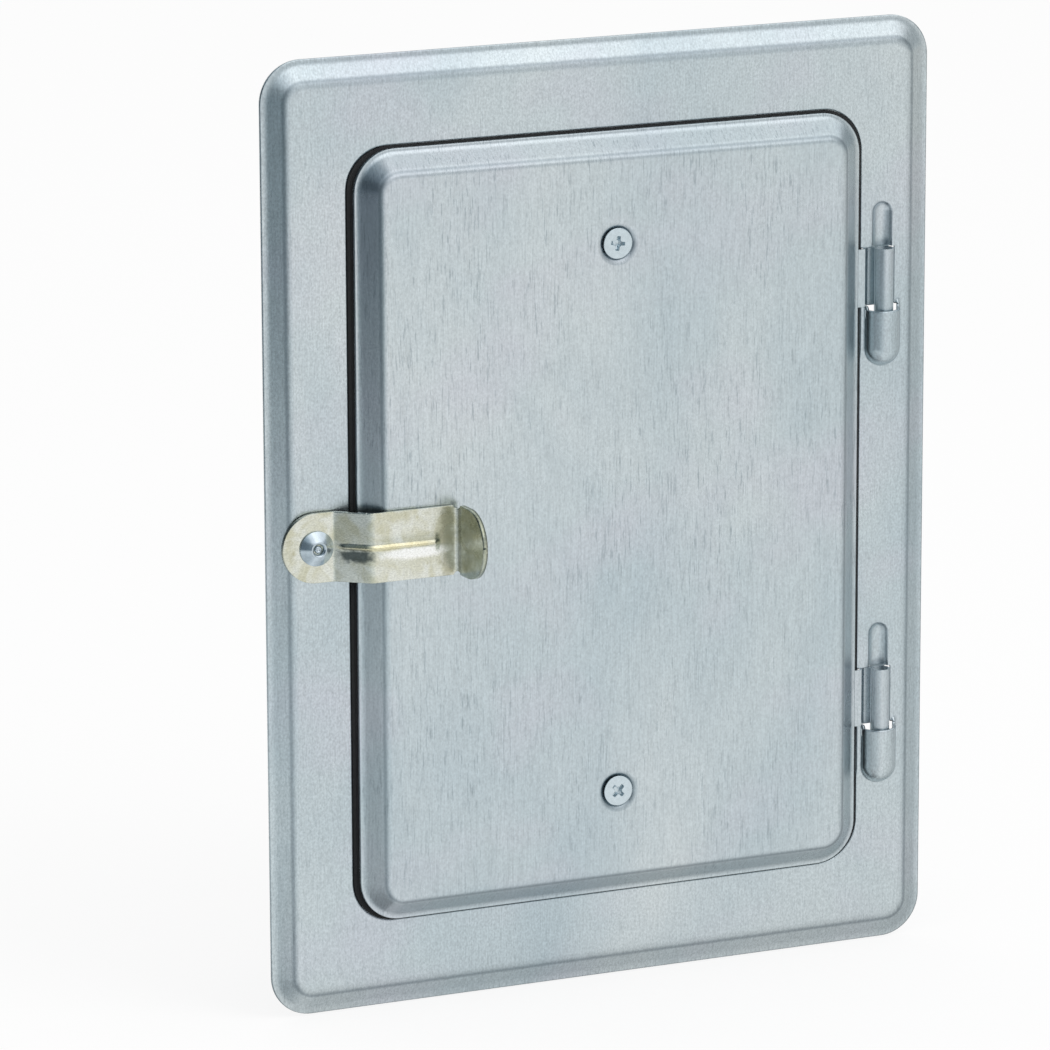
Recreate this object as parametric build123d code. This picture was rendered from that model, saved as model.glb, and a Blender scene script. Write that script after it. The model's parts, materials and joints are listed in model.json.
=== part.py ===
"""Chimney cleanout door: pressed frame plate on a wall collar, insulated lift-off door leaf, turning latch.

Every shape is first drawn in the face frame, in millimetres: x to the right, y up, z outwards from the wall.
The last step turns it into the part's own frame: +X right, +Z up, the room at -Y and the wall at +Y.
The origin is the middle of the frame plate, on the wall plane that its back rim rests on.
"""

from build123d import *
from math import cos, radians, sin, sqrt
import os

# Frame plate
frame_width = 205.0
frame_height = 275.0
frame_corner_radius = 12.0
frame_sheet = 0.8
frame_lip = 1.2
frame_bevel = 5.8
frame_rise = 3.0
frame_crease_radius = 3.0
frame_border_side = 23.05
frame_border_end = 25.45
door_offset_x = 0.9
door_offset_y = 0.25

# Door leaf
leaf_gap_side = 1.7
leaf_gap_end = 0.8
leaf_corner_radius = 12.0
leaf_sheet = 0.8
leaf_lip = 1.0
leaf_bevel = 5.4
leaf_rise = 5.0
leaf_crease_radius = 2.6
leaf_stand_off = 2.0

# Wall collar
clear_width = 140.0
clear_height = 200.0
collar_sheet = 1.0
collar_depth = 55.0
collar_ledge = 5.4
collar_hinge_ledge = 11.6

# Wall anchors
anchor_width = 18.0
anchor_sheet = 1.5
anchor_length = 32.0
anchor_tail = 8.0
anchor_spread = 120.0
anchor_front_gap = 9.0
anchor_rivet_radius = 2.0
anchor_rivet_head_radius = 3.6
anchor_rivet_head_height = 1.0
anchor_rivet_spacing = 14.0

# Rebate seal
seal_thickness = 0.9
seal_clearance = 0.3

# Inner pan and insulation
pan_sheet = 0.8
pan_depth = 11.0
pan_clearance = 4.0
pan_corner_radius = 8.0
board_thickness = 13.5
board_clearance = 0.3

# Hinges
hinge_spacing = 125.0
hinge_offset_y = -0.7
hinge_offset_x = 8.55
hinge_stand_off = 1.3
hinge_pin_radius = 2.0
hinge_pin_reach = 12.6
knuckle_length = 18.0
knuckle_end_gap = 0.2
knuckle_tail = 1.5
knuckle_seat_gap = 0.1
tongue_relief = 1.1
tongue_flat = 2.6
tongue_jog_run = 1.7
window_clearance = 1.25
mouth_slit_half_width = 5.3
mouth_slit_height = 1.15
mouth_relief_radius = 0.5
pocket_radius = 5.35
pocket_length = 16.6
pocket_slit = 0.4
pocket_slit_length = 2.4
groove_radius = 3.9
groove_depth = 2.1
groove_length = 13.4

# Latch
latch_inset = 13.2
latch_sheet = 1.5
latch_half_width = 10.0
latch_joggle_start = 5.8
latch_joggle_end = 14.5
latch_reach = 41.5
latch_leaf_gap = 0.3
latch_running_gap = 0.05
grip_length = 16.8
grip_angle = 86.0
grip_corner_radius = 9.6
grip_notch_radius = 1.3
latch_bend_radius = 2.8
latch_rib_width = 2.6
latch_rib_height = 0.8
latch_rib_start = 5.6
latch_rib_end = 34.5
latch_washer_radius = 7.0
latch_washer_thickness = 0.5
rivet_radius = 2.5
rivet_head_radius = 5.0
rivet_head_height = 2.3
rivet_tail_radius = 3.8
rivet_tail_height = 2.2
rivet_bore_radius = 1.5
mandrel_recess = 0.7

# Leaf screws
screw_spread = 160.0
screw_radius = 2.5
screw_head_radius = 4.4
screw_head_height = 2.0
screw_length = 25.0
screw_hole_clearance = 0.2
screw_ring_gap = 0.35
cross_length = 4.6
cross_width = 0.9
cross_depth = 1.5
upper_cross_turn = 5.0
lower_cross_turn = 45.0
washer_radius = 7.5
washer_thickness = 1.2
nut_across_flats = 8.0
nut_height = 4.0

# Worked-out places across the face
opening_width = frame_width - 2 * frame_border_side
opening_height = frame_height - 2 * frame_border_end
leaf_width = opening_width - 2 * leaf_gap_side
leaf_height = opening_height - 2 * leaf_gap_end
hinge_x = door_offset_x + leaf_width / 2 + hinge_offset_x
latch_x = latch_inset - frame_width / 2
hinge_heights = {
    "upper": hinge_offset_y + hinge_spacing / 2,
    "lower": hinge_offset_y - hinge_spacing / 2,
}
screw_turns = {
    door_offset_y + screw_spread / 2: upper_cross_turn,
    door_offset_y - screw_spread / 2: lower_cross_turn,
}

# Worked-out heights above the wall
face_z = frame_sheet + frame_rise
face_back_z = face_z - frame_sheet
lip_z = face_z + leaf_stand_off
lip_back_z = lip_z - leaf_sheet
leaf_z = lip_z + leaf_rise
leaf_back_z = leaf_z - leaf_sheet
pan_flange_z = lip_back_z - pan_sheet
pan_floor_z = pan_flange_z - pan_depth
collar_end_z = face_back_z - collar_depth
hinge_z = face_z + hinge_stand_off
knuckle_radius = hinge_pin_radius + pan_sheet
pan_width = clear_width - 2 * pan_clearance
pan_height = clear_height - 2 * pan_clearance
latch_low_z = face_z + latch_washer_thickness + latch_running_gap
latch_high_z = leaf_z + latch_leaf_gap


def block(x_range, y_range, z_range):
    """Return the box between two corners, each range given as (low, high)."""
    sizes = [high - low for low, high in (x_range, y_range, z_range)]
    corner = Pos(x_range[0], y_range[0], z_range[0])
    return corner * Box(*sizes, align=(Align.MIN, Align.MIN, Align.MIN))


def rod(radius, x, y, z_range):
    """Return a cylinder that stands along z at (x, y)."""
    height = z_range[1] - z_range[0]
    return Pos(x, y, z_range[0]) * Cylinder(radius, height, align=(Align.CENTER, Align.CENTER, Align.MIN))


def upright_rod(radius, x, y_range, z):
    """Return a cylinder that runs up the face, along y, with its axis at (x, z)."""
    height = y_range[1] - y_range[0]
    upright = Cylinder(radius, height, align=(Align.CENTER, Align.CENTER, Align.MIN))
    return Pos(x, y_range[0], z) * Rot(-90, 0, 0) * upright


def rounded_slab(width, height, radius, z_range, x=0.0, y=0.0):
    """Return a rounded rectangle extruded along z."""
    outline = Pos(x, y, z_range[0]) * RectangleRounded(width, height, radius)
    return extrude(outline, z_range[1] - z_range[0])


def edges_at(solid, z):
    """Return the edges of a solid that lie in the plane at height z."""
    return [
        edge for edge in solid.edges()
        if abs(edge.bounding_box().min.Z - z) < 1e-4 and abs(edge.bounding_box().max.Z - z) < 1e-4
    ]


def pressed_sheet(width, height, corner_radius, lip, bevel, rise, sheet, crease_radius):
    """Return a sheet pressed into a flat lip, a sloping bevel and a raised face, its back rim at z = 0.

    The front is one solid hill, and the same hill moved back by the sheet's thickness is cut out of it.
    """
    base = rounded_slab(width, height, corner_radius, (0, sheet))
    foot = Pos(0, 0, sheet) * RectangleRounded(width - 2 * lip, height - 2 * lip, corner_radius - lip)
    top_inset = lip + bevel
    top = Pos(0, 0, sheet + rise) * RectangleRounded(
        width - 2 * top_inset, height - 2 * top_inset, corner_radius - top_inset
    )
    crown = loft([foot, top], ruled=True)
    crown = fillet(edges_at(crown, sheet + rise), crease_radius)
    hill = base + crown
    return hill - Pos(0, 0, -sheet) * hill


def pocket_cut(radius, y_range, grow):
    """Return the round form of one hinge pocket, closed by a ball at its lower end."""
    ball_y = y_range[0] + pocket_radius
    barrel = upright_rod(radius, hinge_x, (ball_y, y_range[1] + grow), face_z)
    return barrel + Pos(hinge_x, ball_y, face_z) * Sphere(radius)


def groove_cut(radius, y_range):
    """Return the round form of one hinge groove, closed by a ball at its upper end."""
    form_z = face_z - groove_depth + groove_radius
    ball_y = y_range[1] - sqrt(groove_radius**2 - (groove_radius - groove_depth) ** 2)
    barrel = upright_rod(radius, hinge_x, (y_range[0], ball_y), form_z)
    return barrel + Pos(hinge_x, ball_y, form_z) * Sphere(radius)


def hinge_levels(middle_y):
    """Return the mouth, the window's top and the groove's top of the hinge whose knuckle is at middle_y."""
    mouth = middle_y - knuckle_length / 2
    window_top = middle_y + knuckle_length / 2 + knuckle_end_gap
    return mouth, window_top, window_top + groove_length


def press_hinge_seat(plate, middle_y):
    """Return the plate with one hinge's pocket, groove and window pressed and cut into it."""
    mouth, window_top, groove_top = hinge_levels(middle_y)
    above = block((hinge_x - 20, hinge_x + 20), (mouth - 40, groove_top + 40), (face_back_z, face_z + 20))
    below = block((hinge_x - 20, hinge_x + 20), (mouth - 40, groove_top + 40), (face_z - 20, face_z))
    pocket_span = (mouth - pocket_length, mouth)
    groove_span = (window_top, groove_top)
    plate += pocket_cut(pocket_radius, pocket_span, 0) & above
    plate += groove_cut(groove_radius + frame_sheet, groove_span) & below
    plate -= pocket_cut(pocket_radius - frame_sheet, pocket_span, knuckle_length) & above
    plate -= groove_cut(groove_radius, groove_span)
    edge_x = door_offset_x + opening_width / 2
    slit_left = hinge_x - mouth_slit_half_width
    slit_right = hinge_x + mouth_slit_half_width
    window_right = hinge_x + knuckle_radius + window_clearance
    cut_z = (face_back_z - 3, face_z + pocket_radius + 3)
    tongue_foot = mouth + tongue_relief - knuckle_seat_gap
    plate -= block((edge_x - 1, slit_left + 1), (tongue_foot, window_top), cut_z)
    plate -= block((slit_left, window_right), (mouth, window_top), cut_z)
    plate -= block((slit_left, slit_right), (mouth, mouth + mouth_slit_height), cut_z)
    plate -= rod(mouth_relief_radius, slit_right, mouth + mouth_slit_height / 2, cut_z)
    slit_x = hinge_x - pocket_radius
    return plate - block((slit_x - pocket_slit, slit_x), (mouth - pocket_slit_length, mouth + 1), cut_z)


def make_frame_plate():
    """Return the pressed plate that shows round the door, with both hinge seats and the latch hole."""
    plate = pressed_sheet(
        frame_width, frame_height, frame_corner_radius, frame_lip, frame_bevel,
        frame_rise, frame_sheet, frame_crease_radius,
    )
    opening_radius = leaf_corner_radius + leaf_gap_end
    plate -= rounded_slab(
        opening_width, opening_height, opening_radius, (-1, face_z + 1), door_offset_x, door_offset_y
    )
    for middle_y in hinge_heights.values():
        plate = press_hinge_seat(plate, middle_y)
    return plate - rod(rivet_radius, latch_x, 0, (-1, face_z + 1))


def make_collar_side(side):
    """Return the left (-1) or right (1) folded strip of the collar: a wall and a ledge behind the plate."""
    wall_x = side * clear_width / 2
    half_height = clear_height / 2 + collar_sheet
    ledge = collar_hinge_ledge if side > 0 else collar_ledge
    ledge_x = door_offset_x + side * (opening_width / 2 + ledge)
    wall_span = sorted((wall_x, wall_x + side * collar_sheet))
    ledge_span = sorted((wall_x, ledge_x))
    strip = block(wall_span, (-half_height, half_height), (collar_end_z, face_back_z))
    strip += block(ledge_span, (-half_height, half_height), (face_back_z - collar_sheet, face_back_z))
    if side > 0:
        for middle_y in hinge_heights.values():
            mouth, window_top, groove_top = hinge_levels(middle_y)
            notch_y = (mouth - knuckle_tail - knuckle_seat_gap, groove_top + frame_sheet + knuckle_end_gap)
            notch_x = (hinge_x - mouth_slit_half_width - 1, ledge_x + 1)
            strip -= block(notch_x, notch_y, (face_back_z - collar_sheet - 1, face_back_z + 1))
    for y in (-anchor_spread / 2, anchor_spread / 2):
        for z in anchor_rivet_depths():
            strip -= across_rod(anchor_rivet_radius, wall_x - 2, wall_x + 2, y, z)
    return strip


def make_collar_end(side):
    """Return the bottom (-1) or top (1) folded strip of the collar, lying between the two side walls."""
    wall_y = side * clear_height / 2
    ledge_y = door_offset_y + side * (opening_height / 2 + collar_ledge)
    left = door_offset_x - opening_width / 2 - collar_ledge
    right = door_offset_x + opening_width / 2 + collar_hinge_ledge
    wall_span = sorted((wall_y, wall_y + side * collar_sheet))
    ledge_span = sorted((wall_y + side * collar_sheet, ledge_y))
    strip = block((-clear_width / 2, clear_width / 2), wall_span, (collar_end_z, face_back_z))
    return strip + block((left, right), ledge_span, (face_back_z - collar_sheet, face_back_z))


def anchor_rivet_depths():
    """Return the heights of one anchor's two rivets."""
    first = face_back_z - collar_sheet - anchor_front_gap - anchor_length / 2 + anchor_rivet_spacing / 2
    return first, first - anchor_rivet_spacing


def across_rod(radius, x_low, x_high, y, z):
    """Return a cylinder that runs across the face, along x."""
    across = Cylinder(radius, x_high - x_low, align=(Align.CENTER, Align.CENTER, Align.MIN))
    return Pos(x_low, y, z) * Rot(0, 90, 0) * across


def make_anchor(side, y):
    """Return one wall anchor: a strip flat on the collar with its tail bent out to key into mortar."""
    foot_x = side * (clear_width / 2 + collar_sheet)
    front_z = face_back_z - collar_sheet - anchor_front_gap
    back_z = front_z - anchor_length
    span_y = (y - anchor_width / 2, y + anchor_width / 2)
    strip = block(sorted((foot_x, foot_x + side * anchor_sheet)), span_y, (back_z, front_z))
    tail_x = foot_x + side * (anchor_sheet + anchor_tail)
    strip += block(sorted((foot_x, tail_x)), span_y, (back_z - anchor_sheet, back_z))
    bend = [
        edge for edge in strip.edges().filter_by(Axis.Y)
        if abs(edge.center().X - foot_x) < 1e-4 and edge.center().Z < back_z
    ]
    strip = fillet(bend, anchor_sheet)
    for z in anchor_rivet_depths():
        strip -= across_rod(anchor_rivet_radius, *sorted((foot_x - side, foot_x + side * 3)), y, z)
    return strip


def make_anchor_rivets():
    """Return the flat-headed rivets that hold the four anchors to the collar, two to an anchor."""
    rivets = []
    for side in (-1, 1):
        inner_x = side * clear_width / 2
        outer_x = inner_x + side * (collar_sheet + anchor_sheet)
        for y in (-anchor_spread / 2, anchor_spread / 2):
            for z in anchor_rivet_depths():
                head_in = sorted((inner_x - side * anchor_rivet_head_height, inner_x))
                head_out = sorted((outer_x, outer_x + side * anchor_rivet_head_height))
                rivet = across_rod(anchor_rivet_radius, *sorted((inner_x, outer_x)), y, z)
                rivet += across_rod(anchor_rivet_head_radius, *head_in, y, z)
                rivet += across_rod(anchor_rivet_head_radius, *head_out, y, z)
                rivets.append(rivet)
    return rivets


def make_rebate_seal():
    """Return the fibre tape that lines the ledge, which the closed leaf's inner flange comes down on."""
    z_range = (face_back_z, face_back_z + seal_thickness)
    outer_width = opening_width - 2 * seal_clearance
    outer_height = opening_height - 2 * seal_clearance
    radius = leaf_corner_radius
    seal = rounded_slab(outer_width, outer_height, radius, z_range, door_offset_x, door_offset_y)
    ring_hole = rounded_slab(clear_width, clear_height, pan_corner_radius, (z_range[0] - 1, z_range[1] + 1))
    return seal - ring_hole


def make_door_leaf():
    """Return the pressed outer skin of the door, dimpled for its two sunk screws."""
    leaf = pressed_sheet(
        leaf_width, leaf_height, leaf_corner_radius, leaf_lip, leaf_bevel,
        leaf_rise, leaf_sheet, leaf_crease_radius,
    )
    leaf = Pos(door_offset_x, door_offset_y, lip_back_z) * leaf
    sink_radius = screw_head_radius + screw_ring_gap
    neck_radius = screw_radius + screw_ring_gap
    dimple_bottom = leaf_z - screw_head_height
    for y in screw_turns:
        place = Pos(door_offset_x, y, (leaf_z + dimple_bottom) / 2)
        sink = place * Cone(neck_radius, sink_radius, screw_head_height)
        under = place * Pos(0, 0, -leaf_sheet) * Cone(
            neck_radius + leaf_sheet, sink_radius + leaf_sheet, screw_head_height
        )
        leaf += under
        leaf -= sink
        leaf -= rod(screw_radius + screw_hole_clearance, door_offset_x, y, (dimple_bottom - 3, leaf_z + 1))
    return leaf


def tongue_profile():
    """Return the side view of a hinge tongue, from the pan's flange edge to under the pin."""
    flange_top = lip_back_z
    low_back = hinge_z - knuckle_radius
    low_top = low_back + pan_sheet
    edge_x = door_offset_x + leaf_width / 2
    jog_x = edge_x + tongue_flat
    points = [
        (edge_x - 2, flange_top),
        (jog_x, flange_top),
        (jog_x + tongue_jog_run, low_top),
        (hinge_x, low_top),
        (hinge_x, low_back),
        (jog_x + tongue_jog_run - pan_sheet / 2, low_back),
        (jog_x - pan_sheet / 2, pan_flange_z),
        (edge_x - 2, pan_flange_z),
    ]
    return points


def make_hinge_tongue(middle_y):
    """Return one tongue of the pan: flat, stepped down, then curled into a knuckle round its pin."""
    mouth, window_top, groove_top = hinge_levels(middle_y)
    top = window_top - knuckle_end_gap
    foot = mouth + tongue_relief
    profile = Plane.XZ * make_face(Polyline(*tongue_profile(), close=True))
    tongue = Pos(0, top, 0) * extrude(profile, top - foot)
    knuckle = upright_rod(knuckle_radius, hinge_x, (mouth - knuckle_tail, top), hinge_z)
    return tongue + knuckle - upright_rod(hinge_pin_radius, hinge_x, (mouth - 5, top + 1), hinge_z)


def make_inner_pan():
    """Return the inner door pan: a flange behind the leaf's lip, a sunk tray and two hinge tongues."""
    pan = rounded_slab(
        leaf_width, leaf_height, leaf_corner_radius, (pan_flange_z, lip_back_z), door_offset_x, door_offset_y
    )
    tray_z = (pan_floor_z, lip_back_z)
    pan += rounded_slab(pan_width, pan_height, pan_corner_radius, tray_z, door_offset_x, door_offset_y)
    pan -= rounded_slab(
        pan_width - 2 * pan_sheet, pan_height - 2 * pan_sheet, pan_corner_radius - pan_sheet,
        (pan_floor_z + pan_sheet, lip_back_z + 1), door_offset_x, door_offset_y,
    )
    for middle_y in hinge_heights.values():
        pan += make_hinge_tongue(middle_y)
    for y in screw_turns:
        hole_z = (pan_floor_z - 1, pan_floor_z + pan_sheet + 1)
        pan -= rod(screw_radius + screw_hole_clearance, door_offset_x, y, hole_z)
    return pan


def make_insulation_board():
    """Return the mineral board that fills the pan behind the leaf."""
    bottom = pan_floor_z + pan_sheet
    inset = pan_sheet + board_clearance
    board = rounded_slab(
        pan_width - 2 * inset, pan_height - 2 * inset, pan_corner_radius - inset,
        (bottom, bottom + board_thickness), door_offset_x, door_offset_y,
    )
    for y in screw_turns:
        board -= rod(screw_radius + screw_hole_clearance, door_offset_x, y, (bottom - 1, leaf_z))
    return board


def make_hinge_pin(middle_y):
    """Return one hinge pin: gripped by the knuckle, its lower end standing in the frame's pocket."""
    mouth, window_top, groove_top = hinge_levels(middle_y)
    pin = upright_rod(hinge_pin_radius, hinge_x, (mouth - hinge_pin_reach, window_top - knuckle_end_gap), hinge_z)
    foot = [edge for edge in pin.edges() if abs(edge.center().Y - mouth + hinge_pin_reach) < 1e-4]
    return chamfer(foot, hinge_pin_radius / 4)


def make_leaf_screws():
    """Return the two countersunk screws, each with a cross recess."""
    screws = []
    for y, turn in screw_turns.items():
        head_bottom = leaf_z - screw_head_height
        head = Pos(door_offset_x, y, leaf_z - screw_head_height / 2) * Cone(
            screw_radius, screw_head_radius, screw_head_height
        )
        screw = head + rod(screw_radius, door_offset_x, y, (leaf_z - screw_length, head_bottom))
        for angle in (turn, turn + 90):
            slot = Box(cross_length, cross_width, cross_depth, align=(Align.CENTER, Align.CENTER, Align.MAX))
            screw -= Pos(door_offset_x, y, leaf_z) * Rot(0, 0, angle) * slot
        screws.append(screw)
    return screws


def make_screw_washers():
    """Return the two washers under the nuts, on the back of the pan."""
    washers = []
    for y in screw_turns:
        z_range = (pan_floor_z - washer_thickness, pan_floor_z)
        washer = rod(washer_radius, door_offset_x, y, z_range)
        washers.append(washer - rod(screw_radius + screw_hole_clearance, door_offset_x, y, z_range))
    return washers


def make_screw_nuts():
    """Return the two hexagon nuts behind the pan."""
    nuts = []
    top = pan_floor_z - washer_thickness
    corner_radius = nut_across_flats / 2 / cos(radians(30))
    for y in screw_turns:
        prism = extrude(Pos(door_offset_x, y, top - nut_height) * RegularPolygon(corner_radius, 6), nut_height)
        nuts.append(prism - rod(screw_radius, door_offset_x, y, (top - nut_height - 1, top + 1)))
    return nuts


def latch_line(lift=0.0):
    """Return the latch's underside seen from below, as (distance from the pivot, height), with its bends."""
    tip_x = latch_reach + grip_length * cos(radians(grip_angle))
    tip_z = latch_high_z + grip_length * sin(radians(grip_angle))
    return [
        (-latch_half_width - 1, latch_low_z + lift),
        (latch_joggle_start, latch_low_z + lift),
        (latch_joggle_end, latch_high_z + lift),
        (latch_reach, latch_high_z + lift),
        (tip_x, tip_z + lift),
    ]


def latch_band(width, lift=0.0):
    """Return the latch's folded strip, as wide as given, its sheet measured square to each run."""
    line = FilletPolyline(*latch_line(lift), radius=latch_bend_radius)
    side = Plane.XZ * offset(line, latch_sheet, side=Side.LEFT)
    face = make_face(side.edges())
    return extrude(face, width / 2, both=True)


def make_latch_lever():
    """Return the latch: a round end on the pivot, a joggle up to the leaf, a stiffening rib and a grip."""
    lever = latch_band(2 * latch_half_width)
    far_x = latch_reach + grip_length
    half = latch_half_width
    tall = (latch_low_z - 5, latch_high_z + grip_length + 10)
    plan = block((0, far_x), (-half, half), tall) + rod(half, 0, 0, tall)
    lever = lever & plan
    rib = latch_band(latch_rib_width, latch_rib_height)
    rib = rib & block((latch_rib_start, latch_rib_end), (-half, half), tall)
    lever += rib
    fold = (latch_high_z - 1, latch_high_z + latch_sheet + 1)
    for side in (-1, 1):
        lever -= rod(grip_notch_radius, latch_reach, side * half, fold)
    tip = [
        edge for edge in lever.edges()
        if edge.center().Z > latch_high_z + grip_length * 0.8 and abs(edge.center().Y) > half * 0.9
        and edge.length < 2 * latch_sheet
    ]
    lever = fillet(tip, grip_corner_radius)
    lever -= rod(rivet_radius + latch_running_gap, 0, 0, tall)
    return Pos(latch_x, 0, 0) * lever


def make_latch_washer():
    """Return the washer that the latch turns on."""
    z_range = (face_z, face_z + latch_washer_thickness)
    washer = rod(latch_washer_radius, latch_x, 0, z_range)
    return washer - rod(rivet_radius, latch_x, 0, z_range)


def make_latch_rivet():
    """Return the blind rivet: domed head, hollow shank and the bulb that grips behind the plate."""
    seat_z = latch_low_z + latch_sheet + latch_running_gap
    dome_radius = (rivet_head_radius**2 + rivet_head_height**2) / (2 * rivet_head_height)
    dome = Pos(latch_x, 0, seat_z + rivet_head_height - dome_radius) * Sphere(dome_radius)
    top_z = seat_z + rivet_head_height
    dome = dome & block((latch_x - 20, latch_x + 20), (-20, 20), (seat_z, top_z + 1))
    rivet = dome + rod(rivet_radius, latch_x, 0, (face_back_z - rivet_tail_height, seat_z))
    rivet += rod(rivet_tail_radius, latch_x, 0, (face_back_z - rivet_tail_height, face_back_z))
    return rivet - rod(rivet_bore_radius, latch_x, 0, (face_back_z - rivet_tail_height - 1, top_z + 1))


def make_rivet_mandrel():
    """Return the broken stub of the mandrel that stays inside the blind rivet."""
    top_z = latch_low_z + latch_sheet + latch_running_gap + rivet_head_height - mandrel_recess
    return rod(rivet_bore_radius, latch_x, 0, (face_back_z - rivet_tail_height, top_z))


def make_parts():
    """Return each node's shape, or list of shapes, by name."""
    parts = {
        "frame_plate": make_frame_plate(),
        "collar_left": make_collar_side(-1),
        "collar_right": make_collar_side(1),
        "collar_bottom": make_collar_end(-1),
        "collar_top": make_collar_end(1),
        "anchor_rivets": make_anchor_rivets(),
        "rebate_seal": make_rebate_seal(),
        "door_leaf": make_door_leaf(),
        "inner_pan": make_inner_pan(),
        "insulation_board": make_insulation_board(),
        "leaf_screws": make_leaf_screws(),
        "screw_washers": make_screw_washers(),
        "screw_nuts": make_screw_nuts(),
        "latch_lever": make_latch_lever(),
        "latch_washer": make_latch_washer(),
        "latch_rivet": make_latch_rivet(),
        "rivet_mandrel": make_rivet_mandrel(),
    }
    for level, middle_y in hinge_heights.items():
        parts[f"hinge_pin_{level}"] = make_hinge_pin(middle_y)
    for side_name, side in (("left", -1), ("right", 1)):
        for level, sign in (("upper", 1), ("lower", -1)):
            parts[f"wall_anchor_{level}_{side_name}"] = make_anchor(side, sign * anchor_spread / 2)
    return parts


def solids_of(shape):
    """Return the solids of one shape or of a list of shapes."""
    shapes = shape if isinstance(shape, list) else [shape]
    return [solid for each in shapes for solid in each.solids()]


os.makedirs("parts", exist_ok=True)
upright = Rot(90, 0, 0)
for name, shape in make_parts().items():
    solids = [upright * solid for solid in solids_of(shape)]
    export_step(solids[0] if len(solids) == 1 else Compound(children=solids), f"parts/{name}.step")
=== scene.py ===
"""Dress the chimney cleanout door: pressed galvanised sheet, a yellow-zinc latch and zinc-plated fixings.

Shapes are worked out in millimetres, as points (x, z, out), where out is the height above the wall plane
towards the room. The last step of each mesh turns them into metres in the door's own frame, with out at -Y.
"""

import json
import logging
import math
from dataclasses import dataclass, field
from enum import Enum

import bmesh
import bpy
import numpy as np
from mathutils import Matrix, Vector
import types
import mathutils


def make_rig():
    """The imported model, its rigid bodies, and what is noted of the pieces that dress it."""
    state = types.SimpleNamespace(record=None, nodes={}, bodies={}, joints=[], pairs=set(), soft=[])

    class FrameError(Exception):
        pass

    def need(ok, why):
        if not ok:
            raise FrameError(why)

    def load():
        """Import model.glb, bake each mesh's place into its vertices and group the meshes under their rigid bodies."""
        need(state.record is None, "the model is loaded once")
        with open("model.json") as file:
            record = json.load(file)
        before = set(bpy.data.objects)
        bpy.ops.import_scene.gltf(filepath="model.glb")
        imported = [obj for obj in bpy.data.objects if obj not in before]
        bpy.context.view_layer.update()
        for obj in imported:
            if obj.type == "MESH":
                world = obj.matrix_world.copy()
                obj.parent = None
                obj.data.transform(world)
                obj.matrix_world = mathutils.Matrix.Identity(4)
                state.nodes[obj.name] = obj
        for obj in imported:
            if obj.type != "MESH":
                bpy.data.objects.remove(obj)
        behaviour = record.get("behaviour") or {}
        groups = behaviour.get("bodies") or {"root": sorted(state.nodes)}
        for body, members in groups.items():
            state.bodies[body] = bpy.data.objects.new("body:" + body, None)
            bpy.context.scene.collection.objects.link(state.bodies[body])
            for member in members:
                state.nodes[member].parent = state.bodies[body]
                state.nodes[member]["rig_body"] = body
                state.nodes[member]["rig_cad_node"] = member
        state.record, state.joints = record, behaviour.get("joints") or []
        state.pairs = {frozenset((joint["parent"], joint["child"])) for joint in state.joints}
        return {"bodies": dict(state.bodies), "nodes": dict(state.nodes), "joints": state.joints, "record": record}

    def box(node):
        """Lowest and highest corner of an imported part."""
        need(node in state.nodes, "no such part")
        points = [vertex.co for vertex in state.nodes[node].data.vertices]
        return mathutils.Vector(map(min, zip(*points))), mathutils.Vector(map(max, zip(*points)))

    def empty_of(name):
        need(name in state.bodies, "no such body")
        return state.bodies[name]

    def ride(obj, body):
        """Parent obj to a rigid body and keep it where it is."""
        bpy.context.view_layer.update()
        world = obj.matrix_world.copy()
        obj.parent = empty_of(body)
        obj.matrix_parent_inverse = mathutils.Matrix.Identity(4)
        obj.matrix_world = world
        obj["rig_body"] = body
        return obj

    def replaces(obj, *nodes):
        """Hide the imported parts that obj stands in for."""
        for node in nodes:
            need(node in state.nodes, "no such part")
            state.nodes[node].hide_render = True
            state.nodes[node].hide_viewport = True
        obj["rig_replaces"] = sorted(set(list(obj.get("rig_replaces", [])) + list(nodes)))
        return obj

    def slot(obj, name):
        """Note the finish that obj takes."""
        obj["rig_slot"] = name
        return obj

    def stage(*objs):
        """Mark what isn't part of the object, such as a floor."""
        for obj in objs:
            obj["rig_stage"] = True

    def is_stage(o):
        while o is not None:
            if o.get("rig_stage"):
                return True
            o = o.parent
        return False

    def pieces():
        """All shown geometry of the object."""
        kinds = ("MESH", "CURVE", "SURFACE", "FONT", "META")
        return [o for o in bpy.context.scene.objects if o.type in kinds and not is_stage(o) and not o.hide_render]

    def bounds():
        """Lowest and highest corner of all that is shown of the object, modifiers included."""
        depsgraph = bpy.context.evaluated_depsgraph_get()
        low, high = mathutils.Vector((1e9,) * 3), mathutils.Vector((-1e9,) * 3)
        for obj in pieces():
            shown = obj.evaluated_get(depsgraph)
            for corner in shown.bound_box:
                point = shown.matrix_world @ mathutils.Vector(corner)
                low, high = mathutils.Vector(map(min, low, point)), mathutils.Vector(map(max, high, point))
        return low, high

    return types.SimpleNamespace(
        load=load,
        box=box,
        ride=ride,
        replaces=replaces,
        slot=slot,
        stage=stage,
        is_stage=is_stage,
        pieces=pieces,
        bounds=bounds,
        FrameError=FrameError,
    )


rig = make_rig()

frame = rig.load()

MM = 0.001
SAME_PLACE = 1e-6
LOG = logging.getLogger("cleanout_door")

Colour = tuple[float, float, float, float]
Triple = tuple[float, float, float]
Oval = tuple[Triple, Triple, float]
Shades = tuple[tuple[float, Colour], ...]


class Body(Enum):
    """The three bodies that a piece can ride on."""

    FRAME = "frame"
    DOOR = "door"
    LATCH = "latch"


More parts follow.
